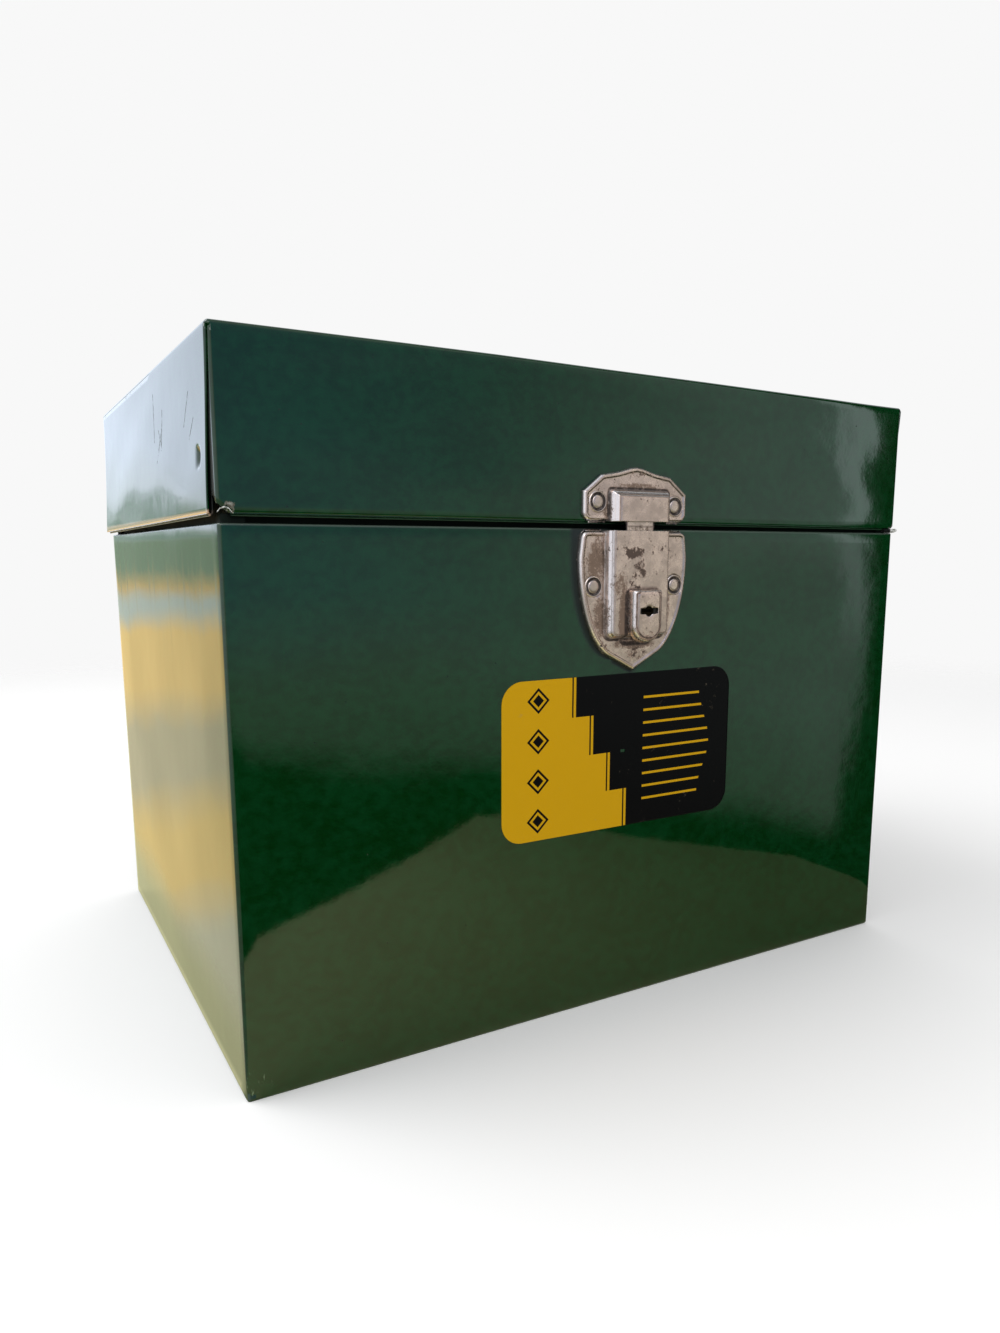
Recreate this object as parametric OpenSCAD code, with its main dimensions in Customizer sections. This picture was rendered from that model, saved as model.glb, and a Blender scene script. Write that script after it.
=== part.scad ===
// Deed box: a sheet steel box for papers, with a hinged lid, a sprung slide lock and a folding bail handle.
// Millimetres. The origin is the middle of the underside: +X to the right, -Y to the front, +Z up.

/* [Box] */
// Width of the box, side to side
box_w = 317.5; // [280:0.5:360]
// Depth of the box, front to back
box_d = 241; // [200:0.5:280]
// Height of the base, from the floor to the seam
base_h = 198; // [160:0.5:260]
// Height of the lid, from the seam to its top
lid_h = 56.2; // [45:0.1:80]
// Open seam between the base and the lid
seam = 3; // [2.6:0.1:4]
// Thickness of the steel sheet
sheet = 0.7; // [0.5:0.05:1]
// Outer radius of the base's bent upright corners
corner_r = 1.6; // [1.4:0.1:4]
// Outer radius of the bends round the lid's top
lid_edge_r = 1.5; // [1.2:0.1:4]
// Height of the folded hems along the edges at the seam
hem_h = 8; // [5:0.5:10]

/* [Lid corners] */
// Width of the open slit at the bottom of each of the lid's corners
slit_w = 2.4; // [1:0.1:4]
// Length of the tab behind each of the lid's front corners
tab_len = 24; // [12:1:40]
// Size of the clipped lower corners of the lid's front and back
clip = 2.2; // [1:0.1:3]

/* [Bottom pan] */
// Thickness of the bottom pan
pan_t = 0.8; // [0.5:0.05:1.2]
// Height of the pan's upturned flange
pan_flange = 10; // [5:0.5:20]

/* [Dust lip] */
// Distance of the dust lip from the outside of the box
lip_inset = 4; // [3.7:0.1:6]
// How far the lip rises above the base
lip_rise = 10; // [6:0.5:12]
// Thickness of the lip
lip_t = 0.6; // [0.5:0.05:0.8]
// Height of the lip's welded leg below the edge of the base
lip_leg = 12; // [9:0.5:16]

/* [Hinge] */
// Length of the strip hinge
hinge_len = 304.8; // [240:0.1:310]
// Number of knuckles, half of them on each leaf
knuckles = 12; // [6:2:24]
// Radius of the hinge pin
pin_r = 0.8; // [0.6:0.05:1]
// Thickness of the leaves
leaf_t = 0.6; // [0.5:0.05:0.8]
// Height of each leaf from the hinge axis
leaf_h = 14; // [8:0.5:18]

/* [Lock] */
// Middle of the lock, to the right of the middle of the box
lock_x = 3.6; // [-20:0.1:20]
// Thickness of the plated sheet of the lock and the catch
plate_t = 0.8; // [0.6:0.05:1]
// How far the faces of the lock and catch plates stand out
plate_rise = 2; // [1.9:0.05:2.5]
// Drop of the lock plate's top from the top of the base
lock_drop = 0.8; // [0.5:0.1:3]
// Width of the lock plate's shield
shield_w = 52; // [50:0.5:60]
// Height of the shield from its top to its tip
shield_h = 55.5; // [52:0.5:57]
// How far the raised case stands out
case_rise = 6; // [5.8:0.1:7]
// Half width of the case at its foot
case_foot = 15; // [14.5:0.1:16]
// Height of the case
case_h = 42.5; // [42:0.5:44]
// Distance between the two lock rivets
lock_rivet_gap = 40; // [39:0.5:42]
// Drop of the lock rivets below the top of the plate
lock_rivet_drop = 21.7; // [18:0.1:24]

/* [Slide] */
// How far the slide button stands out
button_rise = 11; // [10.5:0.1:13]
// Width of the button at its foot
button_w = 15; // [13.5:0.1:16]
// Height of the button
button_h = 21.2; // [20:0.1:22]
// Drop of the button's top below the top of the lock plate
button_drop = 22.9; // [21.5:0.1:24]
// Travel of the slide
slide_travel = 4; // [2:0.1:4.5]
// Diameter of the keyhole's round middle
keyhole_d = 4; // [3:0.1:4.5]
// Width of the keyhole over its two wings
keyhole_w = 8.7; // [6:0.1:9]
// Height of the keyhole's wings
keyhole_wing = 2.4; // [1:0.1:2.6]
// Radius of the key tumbler
tumbler_r = 3; // [2.6:0.1:3.4]
// Wire of the return spring
spring_wire = 0.4; // [0.3:0.05:0.45]
// Outer diameter of the return spring
spring_d = 2.8; // [2.4:0.1:2.9]
// Turns of the return spring
spring_turns = 6; // [4:1:7]

/* [Catch] */
// Gap between the lid's lower edge and the catch plate
catch_lift = 0.2; // [0.1:0.05:0.6]
// Width of the catch plate
catch_w = 50.6; // [49:0.1:54]
// Height of the catch plate at its peak
catch_h = 20.4; // [19.5:0.1:24]
// How far the raised housing stands out
housing_rise = 5.5; // [5.4:0.05:6.5]
// Half width of the housing at its foot
housing_foot = 14; // [13:0.1:15]
// Height of the housing
housing_h = 12.1; // [11:0.1:14]
// Distance between the two catch rivets
catch_rivet_gap = 38.1; // [37:0.1:40]
// Height of the catch rivets above the bottom of the plate
catch_rivet_up = 6.3; // [5.5:0.1:7]
// Thickness of the hook
hook_t = 1; // [0.8:0.05:1.1]
// Width of the hook where it leaves the housing
hook_w = 14; // [12:0.1:15]
// Reach of the hook below the catch plate
hook_reach = 16; // [12:0.5:17]

/* [Rivets] */
// Radius of the rivets' shanks
rivet_r = 1.6; // [1.2:0.05:1.8]
// Radius of the rivets' heads
rivet_head_r = 2.5; // [2.2:0.1:2.7]
// Height of the rivets' heads
rivet_head_h = 0.7; // [0.4:0.05:1]

/* [Label] */
// Width of the label
label_w = 114.7; // [80:0.1:140]
// Height of the label
label_h = 64.2; // [40:0.1:66]
// Gap between the lock plate's tip and the label below it
label_gap = 1.5; // [0.5:0.1:30]
// Radius of the label's corners
label_r = 9; // [2:0.5:15]
// Thickness of the label
label_t = 0.2; // [0.1:0.05:0.4]

/* [Handle] */
// Radius of the bail's wire
wire_r = 2.4; // [2:0.1:3]
// Distance of each of the bail's legs from the middle
bail_half = 46; // [40:0.5:60]
// Reach of the bail from its pivots
bail_reach = 38; // [30:0.5:50]
// Radius of the bail's corners, at the middle of the wire
bail_bend = 9; // [6:0.5:14]
// Width of each bracket
bracket_w = 12; // [8:0.5:18]
// Length of each bracket, front to back
bracket_len = 26; // [24:0.5:34]
// Thickness of the brackets
bracket_t = 1; // [0.8:0.05:1.2]

/* [Hidden] */
$fn = 48;

// Small overlap that joins two shapes of one piece
join = 0.05;
// Air between fixed pieces that are laid together
lay = 0.05;
// Air round a pin or shank in its hole
fit = 0.05;

lid_z = base_h + seam;
top_z = lid_z + lid_h;
front_y = -box_d / 2;
back_y = box_d / 2;
hem_t = 2 * sheet;

// Hinge: the leaves are rolled about their own middle and lie inside the back walls
barrel_r = pin_r + fit + leaf_t;
hinge_y = back_y - sheet - leaf_t / 2;
hinge_z = base_h + seam / 2;
barrel_gap = 0.15;
knuckle_pitch = hinge_len / knuckles;
knuckle_gap = 0.3;
pin_over = 1;

// Drop of the dust lip's step below the top of the base
lip_step = 1.8;

// Lock levels, out from the front face, and heights above the floor
lock_top = base_h - lock_drop;
back_plate_t = 0.7;
case_in = case_rise - plate_t;
case_slope = 1.9;
case_face = case_foot - case_slope;
case_bottom = lock_top - case_h;
button_top = lock_top - button_drop;
lock_rivet_z = lock_top - lock_rivet_drop;
backing_t = 0.8;
backing_over = 7;
backing_w = lock_rivet_gap + 2 * backing_over;
backing_h = 20;
label_z = lock_top - shield_h - label_gap - label_h;

// Catch levels
catch_z = lid_z + catch_lift;
catch_rivet_z = catch_z + catch_rivet_up;
housing_in = housing_rise - plate_t;
housing_slope = 1.7;
housing_face = housing_foot - housing_slope;
hook_air = 0.3;
hook_out = housing_in - hook_air;
hook_back = hook_out - hook_t;
hook_taper = 1.5;
hook_tip_w = hook_w - 2 * hook_taper;
catch_backing_h = 9;
catch_inside = hem_t + lay + backing_t;

// Latch lever: it turns on a pin across the foot of the case, and its top stands behind the hook's window
lever_t = 0.8;
lever_w = 6;
hook_clear = 0.3;
lever_out = hook_back - hook_clear;
latch_pin_r = 0.6;
lever_boss_t = 0.55;
lever_boss_r = latch_pin_r + fit + lever_boss_t;
lever_pin_out = lever_out - lever_t / 2;
lever_pin_drop = 5.3;
lever_pin_z = button_top - lever_pin_drop;
hook_tip_z = catch_z - hook_reach;
nose_up = 6;
lever_top_z = hook_tip_z + nose_up;
ramp_up = 2;
ramp_low_z = lever_pin_z + ramp_up;
ramp_h = 5;
ramp_rise = 0.4;
window_air = 0.6;
window_w = lever_w + 2 * window_air;
window_h = 4;
window_over = 0.5;
window_low_z = lever_top_z - window_h + window_over;

// Slide: the carrier runs in a slot of the case, with the button outside and the spring below
run = 0.2;
button_bottom = button_top - button_h;
button_foot_out = case_rise + run;
button_taper = 1.65;
button_bend = 2;
key_drop = 8.3;
key_z = button_top - key_drop;
neck_w = 6;
neck_h = 8;
carrier_h = 11;
carrier_w = 10;
carrier_out = button_rise - plate_t - run;
carrier_top = key_z + carrier_h / 2;
neck_top = key_z + neck_h / 2;
retainer_t = 0.8;
retainer_out = case_in - run;
retainer_over = 2;
retainer_w = neck_w + 2 * retainer_over;
nib_up = 1;
nib_z = ramp_low_z + ramp_h + nib_up;
nib_h = 1.5;
nib_out = lever_out + ramp_rise + run;
spring_foot = case_bottom + plate_t + lay;
spring_len = 7;
spring_out = case_in - run - spring_d / 2;
ledge_z = spring_foot + spring_len + lay;
ledge_h = 1.5;
tumbler_len = 3;
tumbler_sink = 0.3;
tumbler_out = carrier_out - tumbler_sink;
key_slot_w = 4.8;
key_slot_h = 1.2;
key_slot_deep = 2;

// Handle
bail_lift = 0.4;
pivot_z = top_z + wire_r + bail_lift;
bracket_air = 0.6;
pivot_end = bail_half + wire_r + bracket_air + bracket_w;
bracket_x = pivot_end - bracket_w / 2;
bail_fit = 0.15;
bracket_bore = wire_r + bail_fit;
bracket_rivet_in = 4.2;
bracket_rivet_y = bracket_len / 2 - bracket_rivet_in;

// A rectangle in plan with round corners, centred on the origin
module plan(w, d, r) {
    square([w - 2 * r, d], center = true);
    square([w, d - 2 * r], center = true);
    for (x = [-1, 1], y = [-1, 1])
        translate([x * (w / 2 - r), y * (d / 2 - r)]) circle(r);
}

// An end view with round upper corners, standing on the origin
module arch(w, h, r) {
    translate([-w / 2, 0]) square([w, h - r]);
    translate([r - w / 2, 0]) square([w - 2 * r, h]);
    for (x = [-1, 1])
        translate([x * (w / 2 - r), h - r]) circle(r);
}

// Draws a (y, z) profile out along X, centred
module along_x(len) {
    rotate([90, 0, 90]) linear_extrude(len, center = true) children();
}

// Draws an (x, z) profile out along Y, centred
module along_y(len) {
    rotate([90, 0, 0]) linear_extrude(len, center = true) children();
}

// Puts shapes on the front at the lock's middle: x across, y is the height, z comes out of the front
module on_front() {
    translate([lock_x, front_y, 0]) rotate([90, 0, 0]) children();
}

// Draws an (x, out) profile down from a height, inside on_front
module down_from(height, len) {
    translate([0, height, 0]) rotate([90, 0, 0]) linear_extrude(len) children();
}

// The two places left and right of the lock's middle, gap apart
module pair(gap, height) {
    for (side = [-1, 1])
        translate([side * gap / 2, height, 0]) children();
}

// Base

module body_wrap() {
    color([0.15, 0.27, 0.2]) difference() {
        union() {
            linear_extrude(base_h) difference() {
                plan(box_w, box_d, corner_r);
                plan(box_w - 2 * sheet, box_d - 2 * sheet, corner_r - sheet);
            }
            // Hem folded in along the front and both sides
            translate([0, 0, base_h - hem_h]) linear_extrude(hem_h) difference() {
                plan(box_w - sheet, box_d - sheet, corner_r - sheet / 2);
                square([box_w - 2 * hem_t, box_d - 2 * hem_t], center = true);
                translate([0, back_y]) square([box_w + 1, 2 * leaf_h], center = true);
            }
        }
        hinge_relief();
        on_front() pair(lock_rivet_gap, lock_rivet_z) cylinder(r = rivet_r + fit, h = 4 * sheet, center = true);
    }
}

// Room for the hinge barrel in the edges of both back walls
module hinge_relief() {
    translate([0, back_y, hinge_z])
        cube([hinge_len + 4, 6 * sheet, 2 * (barrel_r + barrel_gap)], center = true);
}

module bottom_pan() {
    w = box_w - 2 * (sheet + lay);
    d = box_d - 2 * (sheet + lay);
    color([0.13, 0.24, 0.18]) difference() {
        linear_extrude(pan_flange) plan(w, d, corner_r - sheet - lay);
        translate([0, 0, pan_t]) linear_extrude(pan_flange)
            square([w - 2 * pan_t, d - 2 * pan_t], center = true);
    }
}

// A Z section on three sides: a leg welded behind the hem, a step inwards and a lip that rises into the lid
module dust_lip() {
    leg_in = hem_t + lay;
    step_z = base_h - lip_step;
    color([0.17, 0.29, 0.22]) difference() {
        union() {
            lip_ring(leg_in, leg_in + lip_t, base_h - lip_leg, step_z);
            lip_ring(leg_in, lip_inset + lip_t, step_z, step_z + lip_t);
            lip_ring(lip_inset, lip_inset + lip_t, step_z, base_h + lip_rise);
        }
        translate([-box_w / 2, back_y - leaf_h / 2, 0]) cube([box_w, leaf_h, top_z]);
    }
}

// An upright band between two distances in from the outside of the box
module lip_ring(outer, inner, low, high) {
    translate([0, 0, low]) linear_extrude(high - low) difference() {
        square([box_w - 2 * outer, box_d - 2 * outer], center = true);
        square([box_w - 2 * inner, box_d - 2 * inner], center = true);
    }
}

module label_plate() {
    color([0.85, 0.62, 0.08]) translate([0, front_y, label_z + label_h / 2]) rotate([90, 0, 0])
        linear_extrude(label_t) plan(label_w, label_h, label_r);
}

// Hinge: both leaves share the pin, each with every second knuckle

module hinge_leaf(up, first) {
    bore_r = pin_r + fit;
    near = barrel_r + 0.3;
    translate([0, hinge_y, hinge_z]) mirror([0, 0, up ? 0 : 1]) {
        translate([-hinge_len / 2, -leaf_t / 2, near]) cube([hinge_len, leaf_t, leaf_h - near]);
        for (k = [first : 2 : knuckles - 1])
            translate([(k + 0.5 - knuckles / 2) * knuckle_pitch, 0, 0]) along_x(knuckle_pitch - knuckle_gap)
                difference() {
                    union() {
                        circle(barrel_r);
                        translate([-leaf_t / 2, 0]) square([leaf_t, near + 1]);
                    }
                    circle(bore_r);
                }
    }
}

module hinge_leaf_base() {
    color([0.2, 0.3, 0.24]) hinge_leaf(false, 0);
}

module hinge_leaf_lid() {
    color([0.2, 0.3, 0.24]) hinge_leaf(true, 1);
}

module hinge_pin() {
    color("silver") translate([-hinge_len / 2 - pin_over, hinge_y, hinge_z]) rotate([0, 90, 0])
        cylinder(r = pin_r, h = hinge_len + 2 * pin_over);
}

// Lock

// Right half of the shield, from its top to its tip, drawn in all round by an inset
shield_corner = 3;
flank_w = 20;
flank_h = 41;
flank_from = 10;
tip_half = 12.5;
flank_mid = shield_w / 2 - flank_w;
flank_turn = acos((tip_half - flank_mid) / flank_w);
shield = function (inset) let (
    corner = [for (a = [90 : -30 : 0]) [
        shield_w / 2 - shield_corner + (shield_corner - inset) * cos(a),
        lock_top - shield_corner + (shield_corner - inset) * sin(a)
    ]],
    flank = [for (k = [0 : 8]) let (a = k * flank_turn / 8) [
        flank_mid + (flank_w - inset) * cos(a),
        lock_top - flank_from - (flank_h - inset) * sin(a)
    ]]
) both_halves(concat(corner, flank), [0, lock_top - shield_h + 1.15 * inset]);

// Right half of the catch plate, from its bottom to its peak
catch_corner = 2;
catch_side_drop = 10.1;
catch_crown = [[16.6, 3.4], [9, 2.2], [3, 0.4]];
catch_outline = function (inset) let (
    half_w = catch_w / 2 - inset,
    low = catch_z + inset,
    peak = catch_z + catch_h
) both_halves(concat([
    [half_w - catch_corner, low],
    [half_w - 0.3 * catch_corner, low + 0.3 * catch_corner],
    [half_w, low + catch_corner],
    [half_w, peak - catch_side_drop - 0.4 * inset]
], [for (p = catch_crown) [p[0] - (p == catch_crown[0] ? 0.4 * inset : 0), peak - p[1] - 1.1 * inset]]),
[0, peak - 1.1 * inset]);

// A closed outline from its right half and its point on the middle line
function both_halves(half, tip) = concat(
    half, [tip], [for (k = [len(half) - 1 : -1 : 0]) [-half[k][0], half[k][1]]]
);

// A plate pressed out of sheet: a face with a rounded edge that turns back to the box
module dished(outline) {
    edge_r = 0.9;
    difference() {
        for (k = [0 : 2])
            linear_extrude(plate_rise - edge_r * (1 - sin(k * 40)))
                polygon(outline(edge_r * (1 - cos(k * 40))));
        translate([0, 0, -1]) linear_extrude(plate_rise - plate_t + 1) polygon(outline(plate_t));
    }
}

// The end view of a raised case: wide at its foot, with broken upper edges
module case_profile(foot, face, rise, inset) {
    low = plate_rise - plate_t;
    edge_w = 0.6;
    edge_h = 0.8;
    polygon([
        [inset - foot, low], [inset - foot, plate_rise - inset / 2],
        [inset - face - edge_w, rise - edge_h - inset], [inset - face, rise - inset],
        [face - inset, rise - inset], [face + edge_w - inset, rise - edge_h - inset],
        [foot - inset, plate_rise - inset / 2], [foot - inset, low]
    ]);
}

module lock_plate() {
    color([0.66, 0.61, 0.55]) on_front() difference() {
        union() {
            dished(shield);
            down_from(lock_top, case_h) case_profile(case_foot, case_face, case_rise, 0);
        }
        // The case is open behind and above
        down_from(lock_top + 1, case_h - plate_t + 1) case_profile(case_foot, case_face, case_rise, plate_t);
        pair(lock_rivet_gap, lock_rivet_z) cylinder(r = rivet_r + fit, h = 10, center = true);
        // Slot for the carrier's neck
        translate([-neck_w / 2 - run, neck_top - neck_h - slide_travel - run, case_in - 1])
            cube([neck_w + 2 * run, neck_h + slide_travel + 2 * run, plate_t + 2]);
        // Holes for the latch pin, in the case's two cheeks
        translate([0, lever_pin_z, lever_pin_out]) rotate([0, 90, 0])
            cylinder(r = latch_pin_r + fit, h = 2 * case_foot + 2, center = true);
    }
}

module lock_back_plate() {
    color([0.5, 0.48, 0.45]) on_front() difference() {
        translate([0, 0, lay]) linear_extrude(back_plate_t) polygon(shield(plate_t + 0.4));
        pair(lock_rivet_gap, lock_rivet_z) cylinder(r = rivet_r + fit, h = 4, center = true);
    }
}

// A rivet that runs in from a face, with its clinched tail inside
module rivet(face_out, inside) {
    edge_h = 0.4 * rivet_head_h;
    edge_w = 0.5;
    tail = 0.7;
    translate([0, 0, -inside]) cylinder(r = rivet_r, h = inside + face_out + rivet_head_h / 2);
    translate([0, 0, face_out]) cylinder(r = rivet_head_r, h = rivet_head_h - edge_h);
    translate([0, 0, face_out + rivet_head_h - edge_h])
        cylinder(r1 = rivet_head_r, r2 = rivet_head_r - edge_w, h = edge_h);
    translate([0, 0, -inside - tail]) cylinder(r = rivet_r + tail, h = tail + join);
}

module lock_rivets() {
    inside = sheet + lay + backing_t + lay;
    color([0.6, 0.56, 0.5]) on_front() pair(lock_rivet_gap, lock_rivet_z) rivet(plate_rise, inside);
}

module lock_backing() {
    color([0.45, 0.45, 0.45]) on_front() difference() {
        translate([-backing_w / 2, lock_rivet_z - backing_h / 2, -sheet - lay - backing_t])
            cube([backing_w, backing_h, backing_t]);
        pair(lock_rivet_gap, lock_rivet_z) cylinder(r = rivet_r + fit, h = 8 * sheet, center = true);
    }
}

// A lever with a ramp in front, which the carrier's nib rides over as the slide goes down
module latch_lever() {
    color([0.55, 0.55, 0.52]) on_front() difference() {
        union() {
            translate([-lever_w / 2, lever_pin_z, lever_out - lever_t])
                cube([lever_w, lever_top_z - lever_pin_z, lever_t]);
            translate([-lever_w / 2, ramp_low_z, lever_out - join]) cube([lever_w, ramp_h, ramp_rise + join]);
            translate([0, lever_pin_z, lever_pin_out]) rotate([0, 90, 0])
                cylinder(r = lever_boss_r, h = lever_w, center = true);
        }
        translate([0, lever_pin_z, lever_pin_out]) rotate([0, 90, 0])
            cylinder(r = latch_pin_r + fit, h = lever_w + 2, center = true);
    }
}

module latch_pin() {
    color("silver") on_front() translate([0, lever_pin_z, lever_pin_out]) rotate([0, 90, 0])
        cylinder(r = latch_pin_r, h = 2 * case_foot - 0.6, center = true);
}

// Slide

// The button's outline from the front: a flat top and a round bottom
module button_outline(inset, top) {
    r = button_w / 2 - inset;
    mid_z = button_bottom + button_w / 2 - inset * 0.2;
    translate([0, mid_z]) circle(r, $fn = 32);
    translate([-r, mid_z]) square([2 * r, button_top - top - mid_z]);
}

// A solid from the button's wide foot to its narrower face
module button_block(inset, foot_out, face_out) {
    hull() {
        translate([0, 0, foot_out]) linear_extrude(0.3) button_outline(inset, inset);
        translate([0, 0, face_out - button_bend]) linear_extrude(0.1)
            button_outline(inset + button_taper * 0.6, inset + 0.2);
        translate([0, 0, face_out - 0.1]) linear_extrude(0.1)
            button_outline(inset + button_taper, inset + 1);
    }
}

module slide_button() {
    color([0.68, 0.63, 0.57]) on_front() difference() {
        button_block(0, button_foot_out, button_rise);
        translate([0, 0, -0.1]) button_block(plate_t, button_foot_out, button_rise - plate_t + 0.1);
        translate([0, key_z, carrier_out]) cylinder(r = keyhole_d / 2, h = 3);
        translate([-keyhole_w / 2, key_z - keyhole_wing / 2, carrier_out]) cube([keyhole_w, keyhole_wing, 3]);
    }
}

module slide_carrier() {
    color([0.5, 0.5, 0.48]) on_front() difference() {
        union() {
            // Block inside the button
            translate([-carrier_w / 2, key_z - carrier_h / 2, button_foot_out])
                cube([carrier_w, carrier_h, carrier_out - button_foot_out]);
            // Neck in the slot
            translate([-neck_w / 2, neck_top - neck_h, retainer_out - join])
                cube([neck_w, neck_h, button_foot_out - retainer_out + 2 * join]);
            // Retainer behind the case's face, its nib above the lever's ramp, and the ledge on the spring
            translate([-retainer_w / 2, ledge_z, retainer_out - retainer_t])
                cube([retainer_w, nib_z + nib_h - ledge_z, retainer_t]);
            translate([-lever_w / 2, nib_z, nib_out]) cube([lever_w, nib_h, retainer_out - nib_out]);
            translate([-spring_d / 2, ledge_z, spring_out - spring_d / 2])
                cube([spring_d, ledge_h, spring_d]);
        }
        // Seat for the tumbler, open to the front
        translate([0, key_z, tumbler_out - tumbler_len - run]) cylinder(r = tumbler_r + fit, h = 10);
    }
}

// A disc with the key's slot through it, which turns in the carrier behind the keyhole
module key_tumbler() {
    color([0.72, 0.6, 0.3]) on_front() difference() {
        translate([0, key_z, tumbler_out - tumbler_len]) cylinder(r = tumbler_r, h = tumbler_len);
        translate([-key_slot_w / 2, key_z - key_slot_h / 2, tumbler_out - key_slot_deep])
            cube([key_slot_w, key_slot_h, 2 * key_slot_deep]);
    }
}

// Points round the wire at turn t of the spring, counted from its foot
spring_rings = 10;
spring_sides = 6;
spring_mean_r = (spring_d - spring_wire) / 2;
spring_rise = (spring_len - spring_wire) / spring_turns;
spring_points = [for (k = [0 : spring_rings * spring_turns], s = [0 : spring_sides - 1]) let (
    turn = 360 * k / spring_rings,
    a = 360 * s / spring_sides,
    r = spring_mean_r + spring_wire / 2 * cos(a)
) [r * cos(turn), r * sin(turn), spring_wire / 2 + spring_rise * k / spring_rings + spring_wire / 2 * sin(a)]];
spring_last = spring_rings * spring_turns * spring_sides;
spring_faces = concat(
    [for (k = [0 : spring_rings * spring_turns - 1], s = [0 : spring_sides - 1], half = [0, 1]) let (
        a = k * spring_sides + s,
        b = k * spring_sides + (s + 1) % spring_sides
    ) half == 0 ? [a, a + spring_sides, b] : [b, a + spring_sides, b + spring_sides]],
    [for (s = [1 : spring_sides - 2]) [0, s, s + 1]],
    [for (s = [1 : spring_sides - 2]) [spring_last, spring_last + s + 1, spring_last + s]]
);

module return_spring() {
    color("gray") translate([lock_x, front_y - spring_out, spring_foot])
        polyhedron(points = spring_points, faces = spring_faces);
}

// Lid

// The lid's outside, or its inside when drawn in by the sheet
module lid_form(inset, extra) {
    w = box_w - 2 * inset;
    d = box_d - 2 * inset;
    h = lid_h - inset + extra;
    r = lid_edge_r - inset;
    translate([0, 0, lid_z - extra]) intersection() {
        along_y(box_d) arch(w, h, r);
        along_x(box_w) arch(d, h, r);
    }
}

// The open slit between a side flange and the front or back flange, wider downwards
module corner_slits() {
    for (x = [-1, 1], y = [-1, 1])
        scale([x, y, 1]) translate([box_w / 2, 0, 0]) along_x(2 * sheet + join) polygon([
            [back_y - sheet, lid_z - 1],
            [back_y - sheet - slit_w, lid_z - 1],
            [back_y - sheet, top_z - 3 * lid_edge_r]
        ]);
}

// The clipped lower corners of the front and back flanges
module corner_clips() {
    for (x = [-1, 1], y = [-1, 1])
        scale([x, y, 1]) translate([0, back_y, 0]) along_y(3 * sheet) polygon([
            [box_w / 2 + 1, lid_z - 1],
            [box_w / 2 - clip - 1, lid_z - 1],
            [box_w / 2 + 1, lid_z + clip + 1]
        ]);
}

module lid_shell() {
    hem_y = front_y + sheet + slit_w + 1;
    tab_z = lid_z + hem_h + 1;
    color([0.14, 0.25, 0.19]) difference() {
        union() {
            difference() {
                lid_form(0, 0);
                lid_form(sheet, 1);
                corner_slits();
                corner_clips();
            }
            // Hems folded in along the front and both sides
            translate([-box_w / 2 + clip + 2, front_y + sheet - join, lid_z])
                cube([box_w - 2 * clip - 4, sheet + join, hem_h]);
            for (x = [-1, 1])
                scale([x, 1, 1]) translate([box_w / 2 - hem_t, hem_y, lid_z])
                    cube([sheet + join, back_y - leaf_h / 2 - hem_y, hem_h]);
            // Tabs of the front flange, bent back and welded inside the side flanges
            for (x = [-1, 1])
                scale([x, 1, 1]) translate([box_w / 2 - hem_t - join, front_y + sheet - join, tab_z])
                    cube([sheet, tab_len, top_z - 2 * lid_edge_r - tab_z]);
        }
        hinge_relief();
        on_front() pair(catch_rivet_gap, catch_rivet_z) cylinder(r = rivet_r + fit, h = 5 * sheet, center = true);
        bracket_places() bracket_holes();
    }
}

module catch_plate() {
    color([0.68, 0.63, 0.57]) on_front() difference() {
        union() {
            dished(catch_outline);
            down_from(catch_z + housing_h, housing_h) case_profile(housing_foot, housing_face, housing_rise, 0);
        }
        // The housing is open behind and below
        down_from(catch_z + housing_h - plate_t, housing_h)
            case_profile(housing_foot, housing_face, housing_rise, plate_t);
        pair(catch_rivet_gap, catch_rivet_z) cylinder(r = rivet_r + fit, h = 10, center = true);
    }
}

// A strap under the catch plate that steps out inside the housing and hangs down into the lock
module catch_hook() {
    strap_h = 2 * rivet_r + 4;
    strap_out = plate_rise - plate_t - lay;
    strap_t = strap_out - lay;
    strap_w = catch_rivet_gap + 2 * rivet_r + 3;
    step_z = catch_rivet_z + strap_h / 2;
    color([0.62, 0.58, 0.52]) on_front() difference() {
        union() {
            translate([-strap_w / 2, catch_rivet_z - strap_h / 2, lay]) cube([strap_w, strap_h, strap_t]);
            translate([-hook_w / 2, step_z - hook_t, lay]) cube([hook_w, hook_t, hook_out - lay]);
            translate([0, 0, hook_back]) linear_extrude(hook_t) polygon([
                [-hook_w / 2, step_z], [-hook_w / 2, catch_z],
                [-hook_tip_w / 2, hook_tip_z + 1], [1 - hook_tip_w / 2, hook_tip_z],
                [hook_tip_w / 2 - 1, hook_tip_z], [hook_tip_w / 2, hook_tip_z + 1],
                [hook_w / 2, catch_z], [hook_w / 2, step_z]
            ]);
        }
        translate([-window_w / 2, window_low_z, hook_back - 1])
            cube([window_w, window_h, hook_t + 2]);
        pair(catch_rivet_gap, catch_rivet_z) cylinder(r = rivet_r + fit, h = 10, center = true);
    }
}

module catch_rivets() {
    color([0.6, 0.56, 0.5]) on_front() pair(catch_rivet_gap, catch_rivet_z)
        rivet(plate_rise, catch_inside + lay);
}

module catch_backing() {
    w = catch_rivet_gap + 10;
    color([0.45, 0.45, 0.45]) on_front() difference() {
        translate([-w / 2, catch_rivet_z - catch_backing_h / 2, -catch_inside])
            cube([w, catch_backing_h, backing_t]);
        pair(catch_rivet_gap, catch_rivet_z) cylinder(r = rivet_r + fit, h = 12 * sheet, center = true);
    }
}

// Handle

module bracket_places() {
    for (side = [-1, 1])
        translate([side * bracket_x, 0, top_z]) children();
}

module bracket_holes() {
    for (side = [-1, 1])
        translate([0, side * bracket_rivet_y, 0]) cylinder(r = rivet_r + fit, h = 10, center = true);
}

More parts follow.
